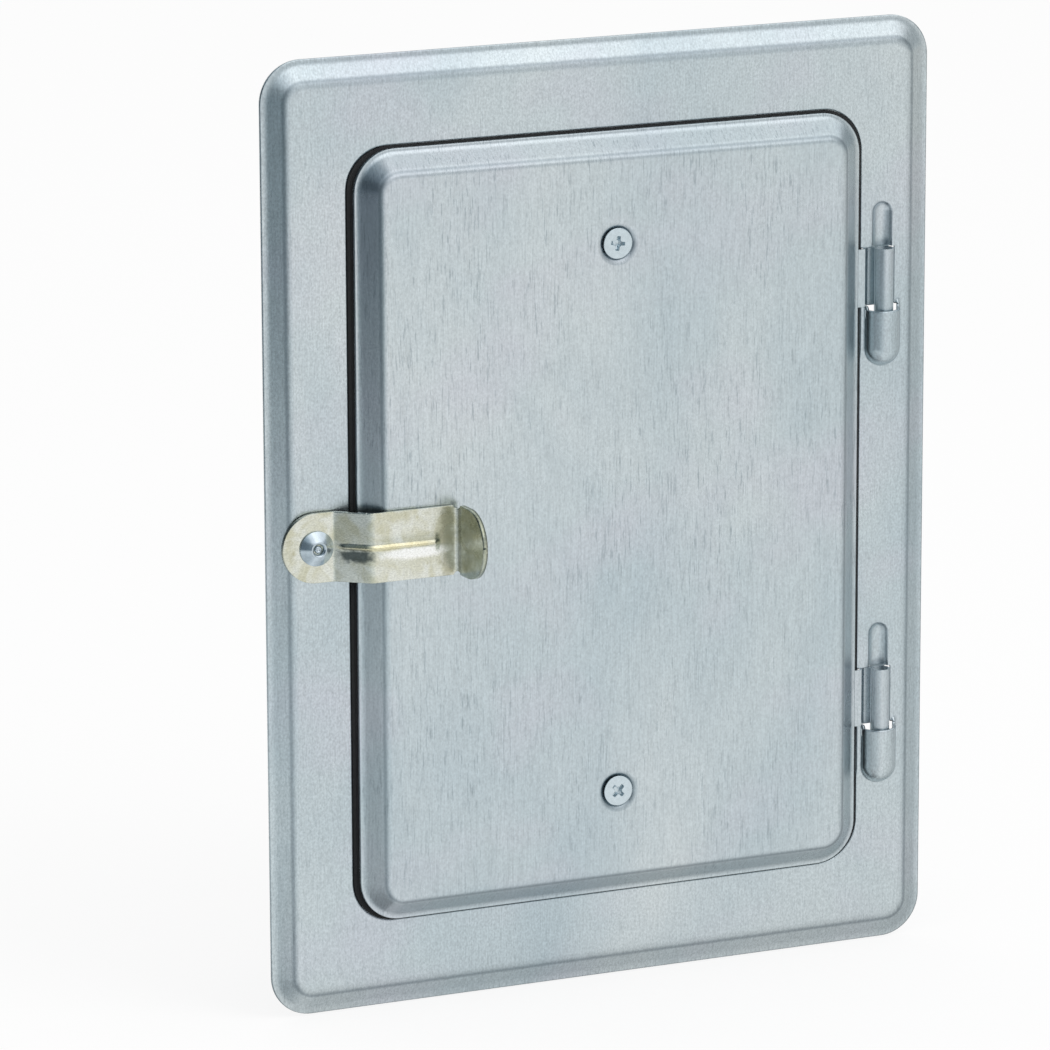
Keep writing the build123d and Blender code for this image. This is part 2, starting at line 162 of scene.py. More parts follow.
@dataclass
class Patch:
    """One grid of points, with the cells of it that are kept."""

    points: np.ndarray
    keep: np.ndarray | None = None
    closed: bool = False

    def faces(self) -> np.ndarray:
        """List the grid's quads, whose corners run anticlockwise from outside.

        Returns:
            A row of four point numbers for each quad that is kept.
        """
        rows, columns = self.points.shape[:2]
        number = np.arange(rows * columns).reshape(rows, columns)
        if self.closed:
            number = np.concatenate([number, number[:, :1]], axis=1)
        quads = np.stack([number[:-1, :-1], number[:-1, 1:], number[1:, 1:], number[1:, :-1]], axis=-1)
        return quads.reshape(-1, 4) if self.keep is None else quads[self.keep]


def build_mesh(name: str, patches: list[Patch], merge: float = 0.002) -> bpy.types.Object:
    """Join grids of points into one smooth-shaded mesh object at the origin.

    Args:
        name: The piece's name.
        patches: Grids of (x, z, out) points in millimetres.
        merge: Points closer than this, in millimetres, become one.

    Returns:
        The new object, linked to the scene.
    """
    points, faces, start = [], [], 0
    for patch in patches:
        points.append(patch.points.reshape(-1, 3))
        faces.append(patch.faces() + start)
        start += patch.points.shape[0] * patch.points.shape[1]
    flat = np.concatenate(points)
    place = np.column_stack([flat[:, 0], -flat[:, 2], flat[:, 1]]) * MM
    mesh = bpy.data.meshes.new(name)
    mesh.from_pydata(place.tolist(), [], np.concatenate(faces).tolist())
    work = bmesh.new()
    work.from_mesh(mesh)
    bmesh.ops.remove_doubles(work, verts=work.verts, dist=merge * MM)
    loose = [vert for vert in work.verts if not vert.link_faces]
    bmesh.ops.delete(work, geom=loose, context="VERTS")
    for face in work.faces:
        face.smooth = True
    work.to_mesh(mesh)
    work.free()
    return new_object(name, mesh)


def thicken(piece: bpy.types.Object, sheet: float) -> None:
    """Give a front surface its sheet's thickness, behind it.

    Args:
        piece: The surface's object.
        sheet: The thickness in millimetres.
    """
    solid = piece.modifiers.new("sheet", "SOLIDIFY")
    solid.thickness = sheet * MM
    solid.offset = -1.0
    solid.use_rim = True
    solid.use_quality_normals = True


def smooth_ramp(distance: np.ndarray, width: float) -> np.ndarray:
    """Return 0 below zero and the distance above it, rounded by a parabola of the given width."""
    rounded = (distance + width / 2) ** 2 / (2 * width)
    return np.where(distance < -width / 2, 0.0, np.where(distance > width / 2, distance, rounded))


def smooth_step(value: np.ndarray) -> np.ndarray:
    """Return 3t^2 - 2t^3 of the value held between 0 and 1."""
    held = np.clip(value, 0.0, 1.0)
    return held * held * (3 - 2 * held)


def spaced(low: float, high: float, step: float) -> np.ndarray:
    """Return evenly spaced values from low to high, about a step apart, both ends included."""
    return np.linspace(low, high, max(2, int(round((high - low) / step)) + 1))


def spaced_with_runs(low: float, high: float, runs: list[np.ndarray], step: float) -> np.ndarray:
    """Space values evenly from low to high, with closer ones where a run of them is given.

    Args:
        low: The first value.
        high: The last value.
        runs: Rising runs of closer values, which take the place of the even ones.
        step: The even ones' distance.

    Returns:
        The values, rising, each once.
    """
    plain = spaced(low, high, step)
    for run in runs:
        plain = plain[(plain < run[0] - step / 3) | (plain > run[-1] + step / 3)]
    return np.unique(np.round(np.concatenate([plain, [low, high], *runs]), 5))


def length_along(points: np.ndarray) -> np.ndarray:
    """Return the distance run along a line of points at each of them, from 0."""
    return np.concatenate([[0.0], np.cumsum(np.linalg.norm(np.diff(points, axis=0), axis=1))])


def half_circle(radius: float, away: np.ndarray) -> np.ndarray:
    """Return the height of a half circle, sqrt(radius^2 - away^2), and 0 beyond it."""
    return np.sqrt(np.clip(radius**2 - away**2, 0, None))


def bump(value: np.ndarray, half_width: float) -> np.ndarray:
    """Return one wave of a cosine: 1 at zero, 0 from the half width outwards."""
    return 0.5 + 0.5 * np.cos(np.pi * np.clip(value / half_width, -1, 1))


@dataclass(frozen=True)
class BevelProfile:
    """The section of a pressed edge: a flat lip, a sloping bevel and the raised face behind it."""

    lip: float
    bevel: float
    rise: float
    root_rounding: float
    crest_rounding: float

    def height(self, inset: np.ndarray) -> np.ndarray:
        """Work out the section: one rounded ramp that starts at the lip, less a second from the crest on.

        Args:
            inset: Distances in from the edge.

        Returns:
            The height above the lip at each of them.
        """
        slope = self.rise / self.bevel
        root = smooth_ramp(inset - self.lip, self.root_rounding)
        crest = smooth_ramp(inset - self.lip - self.bevel, self.crest_rounding)
        return slope * (root - crest)


@dataclass(frozen=True)
class RoundedLoop:
    """A rounded rectangle: base points on the sharp rectangle inside it, each with its outward way."""

    base: np.ndarray
    outward: np.ndarray
    radius: float

    @classmethod
    def around(cls, x_lines: np.ndarray, z_lines: np.ndarray, radius: float, arc_steps: int) -> "RoundedLoop":
        """Make the loop anticlockwise from the lower left, as seen from the room.

        Args:
            x_lines: Places across the inner rectangle, from its left side to its right side.
            z_lines: Places up the inner rectangle, from its bottom to its top.
            radius: The corner radius of the outermost loop.
            arc_steps: Steps round each corner.

        Returns:
            The loop, whose columns pass through the lines given.
        """
        left, right, low, high = x_lines[0], x_lines[-1], z_lines[0], z_lines[-1]
        sides = [
            (np.column_stack([x_lines, np.full_like(x_lines, low)]), -90.0),
            (np.column_stack([np.full_like(z_lines, right), z_lines]), 0.0),
            (np.column_stack([x_lines[::-1], np.full_like(x_lines, high)]), 90.0),
            (np.column_stack([np.full_like(z_lines, left), z_lines[::-1]]), 180.0),
        ]
        base, angle = [], []
        for side, heading in sides:
            base.append(side)
            angle.append(np.full(len(side), heading))
            turn = np.linspace(heading, heading + 90.0, arc_steps + 1)[1:-1]
            base.append(np.repeat(side[-1:], len(turn), axis=0))
            angle.append(turn)
        heading = np.radians(np.concatenate(angle))
        return cls(np.concatenate(base), np.column_stack([np.cos(heading), np.sin(heading)]), radius)

    def at(self, inset: np.ndarray) -> np.ndarray:
        """Return the loop's points at each distance in from the outline, a row for each distance."""
        reach = (self.radius - inset)[:, None, None]
        return self.base[None] + self.outward[None] * reach


def with_height(flat: np.ndarray, height: np.ndarray) -> np.ndarray:
    """Return (x, z) points with their heights as a third column."""
    return np.concatenate([flat, np.broadcast_to(height, flat.shape[:-1])[..., None]], axis=-1)


def face_wave(flat: np.ndarray, depth: float, span: float) -> np.ndarray:
    """Work out the slight waviness of a pressed face: three crossing sine waves of unlike length.

    Args:
        flat: (x, z) places.
        depth: How far the waves rise and sink.
        span: The distance over which a wave runs through about one radian or two.

    Returns:
        The height to add at each place.
    """
    x, z = flat[..., 0] / span, flat[..., 1] / span
    first = np.sin(2.1 * x + 0.7 * z + 0.4)
    second = np.sin(1.3 * z - 1.1 * x + 2.0)
    third = np.sin(3.4 * z + 0.9 * x)
    return depth * (first + second + 0.4 * third) / 2.4


def node_span(node: str) -> tuple[float, float, float, float]:
    """Return a node's left, right, lowest and highest place across the face, in millimetres."""
    low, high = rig.box(node)
    return low.x / MM, high.x / MM, low.z / MM, high.z / MM


def node_out(node: str) -> tuple[float, float]:
    """Return a node's lowest and highest height above the wall, in millimetres."""
    low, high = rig.box(node)
    return -high.y / MM, -low.y / MM


@dataclass(frozen=True)
class HingeSeat:
    """One hinge seat in the frame plate: a groove above, a window for the knuckle and a pocket below."""

    axis_x: float
    mouth_z: float
    window_top_z: float
    window_right: float = 4.05
    slit_half_width: float = 5.3
    slit_height: float = 1.15
    strip_foot: float = 1.0
    groove_length: float = 13.4
    groove_half_width: float = 3.15
    groove_depth_top: float = 1.7
    groove_depth_mouth: float = 2.3
    groove_rim: float = 0.25
    sill_half_width: float = 2.5
    sill_drop: float = 0.3
    groove_margin: float = 2.5
    groove_fade: float = 1.6
    pocket_radius: float = 5.35
    pocket_length: float = 16.6
    pocket_reach: float = 7.4
    pocket_fillet: float = 0.7
    pocket_margin: float = 3.0
    flare_height: float = 3.0
    curl_width: float = 1.25
    relief_left: float = 5.75
    relief_right: float = 5.35
    relief_length: float = 2.4
    strip_length: float = 20.0

    def x_lines(self) -> list[float]:
        """Return the places across the face where the seat's cuts need an edge."""
        offsets = (self.slit_half_width, self.window_right, self.sill_half_width, -self.sill_half_width,
                   -self.slit_half_width, -self.relief_left, -self.relief_right)
        return [self.axis_x + offset for offset in offsets]

    def z_lines(self) -> np.ndarray:
        """Set grid lines closely over the seat, with one on each of its cuts.

        Returns:
            The lines' heights, rising.
        """
        pocket_foot = self.mouth_z - self.pocket_length
        breaks = [
            pocket_foot - self.pocket_margin,
            pocket_foot + self.pocket_radius,
            self.mouth_z - self.relief_length,
            self.mouth_z,
            self.mouth_z + self.strip_foot,
            self.mouth_z + self.slit_height,
            self.mouth_z + self.flare_height,
            self.window_top_z - self.sill_drop,
            self.window_top_z,
            self.window_top_z + self.groove_length + self.groove_margin,
        ]
        steps = [0.3, 0.45, 0.4, 0.25, 0.2, 0.4, 1.6, 0.15, 0.42]
        runs = [spaced(low, high, step)[:-1] for low, high, step in zip(breaks, breaks[1:], steps)]
        return np.concatenate([*runs, breaks[-1:]])

    def cut(self, flat: np.ndarray) -> np.ndarray:
        """Return which places of the flat sheet the window, the mouth slit and the relief slit take away.

        Args:
            flat: (x, z) places, one for the middle of each cell.

        Returns:
            True where the sheet is cut away.
        """
        across = flat[..., 0] - self.axis_x
        up = flat[..., 1] - self.mouth_z
        below_top = flat[..., 1] < self.window_top_z
        window = (np.abs(across) < self.slit_half_width) & (across < self.window_right) & (up > 0) & below_top
        slit = (np.abs(across) < self.slit_half_width) & (up > 0) & (up < self.slit_height)
        strip = (across < 0) & (across > -self.strip_length) & (up > self.strip_foot) & below_top
        relief = (across > -self.relief_left) & (across < -self.relief_right)
        relief &= (up < 0) & (up > -self.relief_length)
        sill = (np.abs(across) < self.sill_half_width) & (flat[..., 1] > self.window_top_z - self.sill_drop)
        return (window | slit | strip | relief) & ~sill

    def groove(self, flat: np.ndarray) -> np.ndarray:
        """Work out the groove above the window.

        Across, the groove is the arc of a circle that meets the face at its half width, with a rounded rim.
        Its upper end closes like half a ball, and it gets deeper towards the window.

        Args:
            flat: (x, z) places.

        Returns:
            How far the sheet sinks at each place.
        """
        top = self.window_top_z + self.groove_length - self.groove_half_width
        up = flat[..., 1]
        away = np.hypot(flat[..., 0] - self.axis_x, np.clip(up - top, 0, None))
        along = np.clip((up - self.window_top_z) / self.groove_length, 0, 1)
        depth = self.groove_depth_mouth + (self.groove_depth_top - self.groove_depth_mouth) * along
        radius = (self.groove_half_width**2 + depth**2) / (2 * depth)
        curve = np.sqrt(np.clip(radius**2 - away**2, 0.01, None)) - (radius - depth)
        curve = np.where(away > radius * 0.98, self.groove_half_width - away, curve)
        sunk = (curve + np.sqrt(curve**2 + self.groove_rim**2)) / 2
        fade = 1 - smooth_step((away - self.groove_half_width) / self.groove_fade)
        return np.where(up >= self.window_top_z - self.sill_drop - 0.01, sunk * fade, 0.0)

    def pocket_section(self) -> tuple[np.ndarray, np.ndarray, np.ndarray]:
        """Work out the pocket's half section.

        It is a quarter circle from the crest down, then a small arc the other way that lands on the face.

        Returns:
            The length along it, the distance from its middle and the height, point by point.
        """
        radius, fillet, reach = self.pocket_radius, self.pocket_fillet, self.pocket_reach
        meet = math.acos(fillet / (radius + fillet))
        crown = np.linspace(0, meet, 60)
        foot_x = math.sin(meet) * (radius + fillet)
        lower = np.linspace(meet, 0, 14)[1:]
        away = np.concatenate([radius * np.sin(crown), foot_x - fillet * np.sin(lower), [reach]])
        high = np.concatenate([radius * np.cos(crown), fillet - fillet * np.cos(lower), [0.0]])
        return length_along(np.column_stack([away, high])), away, high

    def press(self, flat: np.ndarray, height: np.ndarray) -> tuple[np.ndarray, np.ndarray]:
        """Press the groove and the pocket into the sheet.

        The pocket draws the sheet along its section: a place on the flat sheet slides to the same share of
        the section's length, straight away from the pocket's middle line.

        Args:
            flat: (x, z) places on the flat sheet.
            height: Their heights.

        Returns:
            The places and heights once pressed.
        """
        height = height - self.groove(flat)
        ball_z = self.mouth_z - self.pocket_length + self.pocket_radius
        near_z = np.clip(flat[..., 1], ball_z, None)
        offset = np.stack([flat[..., 0] - self.axis_x, flat[..., 1] - near_z], axis=-1)
        away = np.linalg.norm(offset, axis=-1)
        length, section_away, section_high = self.pocket_section()
        run = np.clip(away / self.pocket_reach, 0, 1) * length[-1]
        moved = np.interp(run, length, section_away)
        raised = np.interp(run, length, section_high)
        fade = 1 - smooth_step((flat[..., 1] - self.mouth_z) / self.flare_height)
        over_slit = flat[..., 1] > self.mouth_z + 0.5 * self.slit_height
        curl = smooth_step((np.abs(flat[..., 0] - self.axis_x) - self.window_right) / self.curl_width)
        fade = np.where(over_slit, fade * curl, fade)
        inside = (away < self.pocket_reach) & (away > SAME_PLACE)
        scale = np.where(inside, 1 + fade * (moved / np.where(inside, away, 1) - 1), 1.0)
        centre = np.stack([np.full_like(near_z, self.axis_x), near_z], axis=-1)
        pressed = centre + offset * scale[..., None]
        return pressed, height + np.where(away < self.pocket_reach, raised * fade, 0.0)


@dataclass
class FramePlate:
    """The pressed plate round the door: its bevelled border, the opening and both hinge seats."""

    sheet: float = 0.8
    corner_radius: float = 12.0
    opening_left: float = -78.55
    opening_right: float = 80.35
    opening_low: float = -111.8
    opening_high: float = 112.3
    opening_radius: float = 12.8
    arc_steps: int = 18
    profile: BevelProfile = BevelProfile(1.2, 5.8, 3.0, 2.2, 2.6)
    hinge_x: float = 87.2
    hinge_mouths: tuple[float, ...] = (52.8, -72.2)
    knuckle_room: float = 18.05
    plain_step: float = 6.0
    border_width: float = 8.5
    border_step: float = 0.34
    inner_step: float = 0.3
    wave_depth: float = 0.05
    wave_span: float = 40.0
    wave_start: float = 9.0
    wave_fade: float = 5.0

    def seats(self) -> list[HingeSeat]:
        """Return the two hinge seats, the upper one first."""
        return [HingeSeat(self.hinge_x, mouth, mouth + self.knuckle_room) for mouth in self.hinge_mouths]

    def opening_loop(self, loop: RoundedLoop) -> np.ndarray:
        """Find the point of the opening's edge that each column of the border runs to.

        A column that faces a straight stretch runs straight to it. The columns left over at each corner fan
        out over the opening's quarter circle.

        Args:
            loop: The plate's outline, with its columns.

        Returns:
            An (x, z) point for each column.
        """
        radius = self.opening_radius
        left, right = self.opening_left + radius, self.opening_right - radius
        low, high = self.opening_low + radius, self.opening_high - radius
        x, z = loop.base[:, 0], loop.base[:, 1]
        level = np.isclose(z, z.min()) | np.isclose(z, z.max())
        upright = np.isclose(x, x.min()) | np.isclose(x, x.max())
        on_level = level & (x >= left) & (x <= right)
        on_upright = upright & (z >= low) & (z <= high)
        target = np.zeros_like(loop.base)
        nearest_z = np.where(z > 0, self.opening_high, self.opening_low)
        nearest_x = np.where(x > 0, self.opening_right, self.opening_left)
        target[on_level] = np.column_stack([x, nearest_z])[on_level]
        target[on_upright] = np.column_stack([nearest_x, z])[on_upright]
        corners = ((right, low, -90), (right, high, 0), (left, high, 90), (left, low, 180))
        spare = ~(on_level | on_upright)
        for centre_x, centre_z, start in corners:
            here = spare & (np.sign(x) == np.sign(centre_x)) & (np.sign(z) == np.sign(centre_z))
            column = np.flatnonzero(here)
            if centre_x < 0 and centre_z < 0:
                column = np.concatenate([column[column > len(x) // 2], column[column <= len(x) // 2]])
            angle = np.radians(np.linspace(start, start + 90, len(column) + 2)[1:-1])
            spread = np.column_stack([np.cos(angle), np.sin(angle)])
            target[column] = np.array([centre_x, centre_z]) + radius * spread
        return target

    def surface(self) -> Patch:
        """Lay out the plate's front, with its windows cut and its hinge seats pressed.

        The rows run from the outline in to the opening: round loops first, then straight lines that share
        out the way left.

        Returns:
            The front surface.
        """
        left, right, low, high = node_span("frame_plate")
        radius = self.corner_radius
        seats = self.seats()
        x_lines = spaced_with_runs(left + radius, right - radius, [], self.plain_step)
        seat_lines = [seat.z_lines() for seat in seats]
        z_lines = spaced_with_runs(low + radius, high - radius, seat_lines, self.plain_step)
        loop = RoundedLoop.around(x_lines, z_lines, radius, self.arc_steps)
        border = np.unique(np.round(np.concatenate([
            spaced(self.opening_right, right - self.border_width, self.inner_step),
            seats[0].x_lines(),
            spaced(right - self.border_width, right, self.border_step),
            [right - radius],
        ]), 5))[::-1]
        inset = right - border
        ring = loop.at(inset[inset <= radius + SAME_PLACE])
        share = (inset[inset > radius + SAME_PLACE] - radius) / (right - radius - self.opening_right)
        target = self.opening_loop(loop)
        inner = loop.base[None] + (target - loop.base)[None] * share[:, None, None]
        flat = np.concatenate([ring, inner])
        face_out = node_out("frame_plate")[0] + self.sheet
        height = np.broadcast_to((face_out + self.profile.height(inset))[:, None], flat.shape[:2])
        ramp = smooth_step((inset - self.wave_start) / self.wave_fade)[:, None]
        height = height + ramp * face_wave(flat, self.wave_depth, self.wave_span)
        around = np.concatenate([flat, flat[:, :1]], axis=1)
        middle = (around[:-1, :-1] + around[1:, 1:] + around[:-1, 1:] + around[1:, :-1]) / 4
        keep = np.ones(middle.shape[:2], bool)
        places = flat
        for seat in seats:
            keep &= ~seat.cut(middle)
            places, height = seat.press(places, height)
        return Patch(with_height(places, height), keep, closed=True)

    def build(self) -> bpy.types.Object:
        """Make the plate in place of its solid.

        Returns:
            The finished plate.
        """
        piece = build_mesh("pressed_frame_plate", [self.surface()])
        thicken(piece, self.sheet)
        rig.replaces(piece, "frame_plate")
        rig.slot(piece, "galvanised_plate")
        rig.ride(piece, Body.FRAME.value)
        return piece


@dataclass
class DoorLeaf:
    """The pressed outer skin of the door, with a dished hole for each sunk screw."""

    sheet: float = 0.8
    corner_radius: float = 12.0
    arc_steps: int = 20
    profile: BevelProfile = BevelProfile(1.0, 5.4, 5.0, 1.8, 3.0)
    patch_half: float = 9.0
    dish_radius: float = 6.1
    dish_depth: float = 0.6
    sink_radius: float = 4.7
    sink_depth: float = 2.0
    sink_rounding: float = 0.4
    hole_radius: float = 2.9
    plain_step: float = 3.0
    patch_step: float = 0.9
    border_width: float = 9.0
    border_step: float = 0.22
    wave_depth: float = 0.1
    wave_span: float = 42.0
    wave_start: float = 7.0
    wave_fade: float = 5.0

    def wave(self, flat: np.ndarray) -> np.ndarray:
        """Return the waviness of the leaf's face at each (x, z) place."""
        return face_wave(flat, self.wave_depth, self.wave_span)

    def dish(self, radius: np.ndarray) -> np.ndarray:
        """Work out the pressing round a screw: a soft dish, then the cone for the head.

        Args:
            radius: Distances from the screw's axis.

        Returns:
            How deep the sheet lies at each of them.
        """
        outward = (radius - self.sink_radius) / (self.dish_radius - self.sink_radius)
        soft = self.dish_depth * (1 - smooth_step(outward))
        cone = smooth_ramp(self.sink_radius - radius, self.sink_rounding)
        return soft + np.minimum(cone, self.sink_depth)

    def screw_patch(self, centre: tuple[float, float], x_lines: np.ndarray, z_lines: np.ndarray,
                    face_out: float) -> Patch:
        """Lay out the square of sheet round one screw, as rings that run from the square in to the hole.

        Args:
            centre: The screw's (x, z).
            x_lines: The face grid's places across the square.
            z_lines: The face grid's places up the square.
            face_out: The height of the face.

        Returns:
            The patch, whose outermost ring lies on the face grid.
        """
        square = RoundedLoop.around(x_lines, z_lines, 0.0, 1).base
        distinct = np.linalg.norm(np.roll(square, -1, axis=0) - square, axis=1) > SAME_PLACE
        offset = square[distinct] - np.array(centre)
        reach = np.linalg.norm(offset, axis=1)
        heading = offset / reach[:, None]
        rings = np.concatenate([spaced(7.6, 6.4, 0.4), spaced(6.2, 5.1, 0.13),
                                spaced(5.0, 4.3, 0.1), spaced(4.1, self.hole_radius, 0.3)])
        radius = np.concatenate([reach[None], np.repeat(rings[:, None], len(reach), axis=1)])
        flat = np.array(centre) + heading[None] * radius[..., None]
        height = face_out + self.wave(flat) - self.dish(radius)
        return Patch(with_height(flat, height), closed=True)

    def surfaces(self) -> list[Patch]:
        """Lay out the leaf's front.

        Returns:
            The bevelled border, a patch round each screw and the flat of the face.
        """
        left, right, low, high = node_span("door_leaf")
        radius, half = self.corner_radius, self.patch_half
        screw_left, screw_right, screw_low, screw_high = node_span("leaf_screws")
        middle_x = (left + right) / 2
        head = (screw_right - screw_left) / 2
        screws = [(middle_x, screw_low + head), (middle_x, screw_high - head)]
        across = spaced(middle_x - half, middle_x + half, self.patch_step)
        x_lines = spaced_with_runs(left + radius, right - radius, [across], self.plain_step)
        ups = [spaced(z - half, z + half, self.patch_step) for _, z in screws]
        z_lines = spaced_with_runs(low + radius, high - radius, ups, self.plain_step)
        loop = RoundedLoop.around(x_lines, z_lines, radius, self.arc_steps)
        inset = np.concatenate([spaced(0, self.border_width, self.border_step), [10.0, 11.0, radius]])
        lip_out = node_out("door_leaf")[0] + self.sheet
        ring = loop.at(inset)
        ramp = smooth_step((inset - self.wave_start) / self.wave_fade)[:, None]
        ring_height = lip_out + self.profile.height(inset)[:, None] + ramp * self.wave(ring)
        face_out = lip_out + self.profile.rise
        flat = np.stack(np.meshgrid(x_lines, z_lines), axis=-1)
        middle = (flat[:-1, :-1] + flat[1:, 1:]) / 2
        keep = np.ones(middle.shape[:2], bool)
        patches = [Patch(with_height(ring, ring_height), closed=True)]
        for (x, z), up in zip(screws, ups):
            keep &= ~((np.abs(middle[..., 0] - x) < half) & (np.abs(middle[..., 1] - z) < half))
            patches.append(self.screw_patch((x, z), np.round(across, 5), np.round(up, 5), face_out))
        patches.append(Patch(with_height(flat, face_out + self.wave(flat)), keep))
        return patches

    def build(self) -> bpy.types.Object:
        """Make the leaf in place of its solid.

        Returns:
            The finished leaf.
        """
        piece = build_mesh("pressed_door_leaf", self.surfaces())
        thicken(piece, self.sheet)
        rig.replaces(piece, "door_leaf")
        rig.slot(piece, "galvanised_leaf")
        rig.ride(piece, Body.DOOR.value)
        return piece


def turned(name: str, section: np.ndarray, centre: tuple[float, float], steps: int) -> bpy.types.Object:
    """Turn a closed section round an axis that stands out from the face.

    Args:
        name: The piece's name.
        section: (radius, out) rows, from the front's middle outwards and back.
        centre: The axis's (x, z).
        steps: Steps round the turn.

    Returns:
        The new object.
    """
    angle = np.linspace(0, 2 * np.pi, steps, endpoint=False)
    radius, out = section[::-1, 0][:, None], section[::-1, 1][:, None]
    points = np.stack([centre[0] + radius * np.cos(angle), centre[1] + radius * np.sin(angle),
                       np.broadcast_to(out, (len(section), steps))], axis=-1)
    return build_mesh(name, [Patch(points, closed=True)])


def arc(centre: tuple[float, float], radius: float, start: float, end: float, steps: int) -> np.ndarray:
    """Return points of a circle's arc between two angles in degrees."""
    angle = np.radians(np.linspace(start, end, steps))
    return np.column_stack([centre[0] + radius * np.cos(angle), centre[1] + radius * np.sin(angle)])


@dataclass
class LeafScrews:
    """The two countersunk screws, each with a tapered cross recess."""

    head_radius: float = 4.4
    head_height: float = 2.0
    shank_radius: float = 2.5
    recess_depth: float = 1.7
    recess_reach: float = 2.1
    arm_half_width: float = 0.5
    arm_taper: float = 0.12
    wall_width: float = 0.12
    end_width: float = 0.18
    floor_fall: float = 0.45
    core_reach: float = 1.15
    core_width: float = 0.25
    grid_reach: float = 2.9
    grid_step: float = 0.07
    turns: tuple[float, ...] = (45.0, -8.0)

    def recess(self, x: np.ndarray, z: np.ndarray) -> np.ndarray:
        """Work out the cross: two wedges with sloping walls, deepest in the middle, and a round core.

        Args:
            x: Places across the head, from its middle.
            z: Places up the head, from its middle.

        Returns:
            The depth at each place.
        """
        depth = np.zeros_like(x)
        for along, across in ((np.abs(x), np.abs(z)), (np.abs(z), np.abs(x))):
            share = along / self.recess_reach
            floor = self.recess_depth * (1 - share**2 * self.floor_fall)
            wall = (self.arm_half_width + self.arm_taper * (1 - share) - across) / self.wall_width
            end = (self.recess_reach - along) / self.end_width
            depth = np.maximum(depth, floor * np.clip(np.minimum(wall, end), 0, 1))
        core = np.clip((self.core_reach - np.hypot(x, z)) / self.core_width, 0, 1)
        return np.maximum(depth, core * self.recess_depth)

    def build(self) -> bpy.types.Object:
        """Make both screws in place of their solid.

        Returns:
            The finished pair.
        """
        left, right, low, high = node_span("leaf_screws")
        tip_out, top_out = node_out("leaf_screws")
        angle = np.linspace(0, 2 * np.pi, 144, endpoint=False)
        patches = []
        for z, turn in zip((low + self.head_radius, high - self.head_radius), self.turns):
            face = spaced(0.1, self.grid_reach, self.grid_step)
            top = np.concatenate([[0.0], face, [3.3, 3.8, 4.2, 4.33]])
            rim = [(self.head_radius, top_out - 0.1), (self.head_radius, top_out - 0.25),
                   (self.shank_radius + 0.1, top_out - self.head_height),
                   (self.shank_radius, top_out - self.head_height - 0.3),
                   (self.shank_radius, tip_out + 0.6), (self.shank_radius - 0.5, tip_out), (0.0, tip_out)]
            radius = np.concatenate([top, [r for r, _ in rim]])
            out = np.concatenate([np.full(len(top), top_out), [o for _, o in rim]])
            grid_r = radius[:, None] * np.ones_like(angle)
            local_x, local_z = grid_r * np.cos(angle), grid_r * np.sin(angle)
            sunk = self.recess(local_x, local_z) * (np.arange(len(radius)) < len(top))[:, None]
            swing = math.radians(turn)
            place_x = (left + right) / 2 + local_x * math.cos(swing) - local_z * math.sin(swing)
            place_z = z + local_x * math.sin(swing) + local_z * math.cos(swing)
            points = np.stack([place_x, place_z, out[:, None] - sunk], axis=-1)
            patches.append(Patch(points[::-1], closed=True))
        piece = build_mesh("countersunk_screws", patches)
        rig.replaces(piece, "leaf_screws")
        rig.slot(piece, "zinc_screw")
        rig.ride(piece, Body.DOOR.value)
        return piece


@dataclass
class LatchRivet:
    """The blind rivet that the latch turns on, and the broken mandrel inside it."""

    play: float = 0.05
    bore: float = 1.5
    hub_radius: float = 2.25
    rim_height: float = 0.45
    stub_room: float = 0.45
    dome_steps: int = 22
    shank_radius: float = 2.5
    tail_radius: float = 3.8
    tail_length: float = 2.2
    rivet_steps: int = 96
    stub_steps: int = 48

    def build(self) -> list[bpy.types.Object]:
        """Make the rivet and its mandrel in place of their solids.

        The head's top is almost a cone: its height runs as 1.12 s - 0.12 s^4, where s is the share of the way
        from its rim to its hub.

        Returns:
            The rivet and the mandrel.
        """
        left, right, low, high = node_span("latch_rivet")
        back, front = node_out("latch_rivet")
        seat = node_out("latch_lever")[0] + LatchLever.sheet + self.play
        centre = ((left + right) / 2, (low + high) / 2)
        head = (right - left) / 2
        tail_top = back + self.tail_length
        shank, tail = self.shank_radius, self.tail_radius
        rise = front - seat - self.rim_height
        turn = np.linspace(np.pi / 2, 0, self.dome_steps)
        dome_r = self.hub_radius + (head - self.hub_radius) * np.cos(turn)
        slope = (head - dome_r) / (head - self.hub_radius)
        dome_o = seat + self.rim_height + rise * (1.12 * slope - 0.12 * slope**4)
        section = np.concatenate([
            [[self.bore, back], [self.bore, front - 1.0]],
            arc((self.hub_radius, front - 0.65), self.hub_radius - self.bore, 180, 90, 10),
            np.column_stack([dome_r, dome_o])[1:],
            [[head, seat + 0.1], [head - 0.1, seat], [shank, seat], [shank, tail_top],
             [tail - 0.4, tail_top], [tail, tail_top - 0.5], [tail, back + 0.6], [tail - 0.6, back],
             [self.bore, back]],
        ])
        rivet = turned("blind_rivet", section, centre, self.rivet_steps)
        stub_top = node_out("rivet_mandrel")[1]
        stub_r = self.bore - self.stub_room
        stub = np.concatenate([
            [[0.0, stub_top - 0.25], [0.35, stub_top - 0.2], [0.6, stub_top - 0.02]],
            arc((stub_r - 0.4, stub_top - 0.4), 0.4, 90, 0, 8),
            [[stub_r, back], [0.0, back]],
        ])
        mandrel = turned("mandrel_stub", stub, centre, self.stub_steps)
        for piece, node in ((rivet, "latch_rivet"), (mandrel, "rivet_mandrel")):
            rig.replaces(piece, node)
            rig.slot(piece, "rivet_steel")
            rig.ride(piece, Body.FRAME.value)
        return [rivet, mandrel]


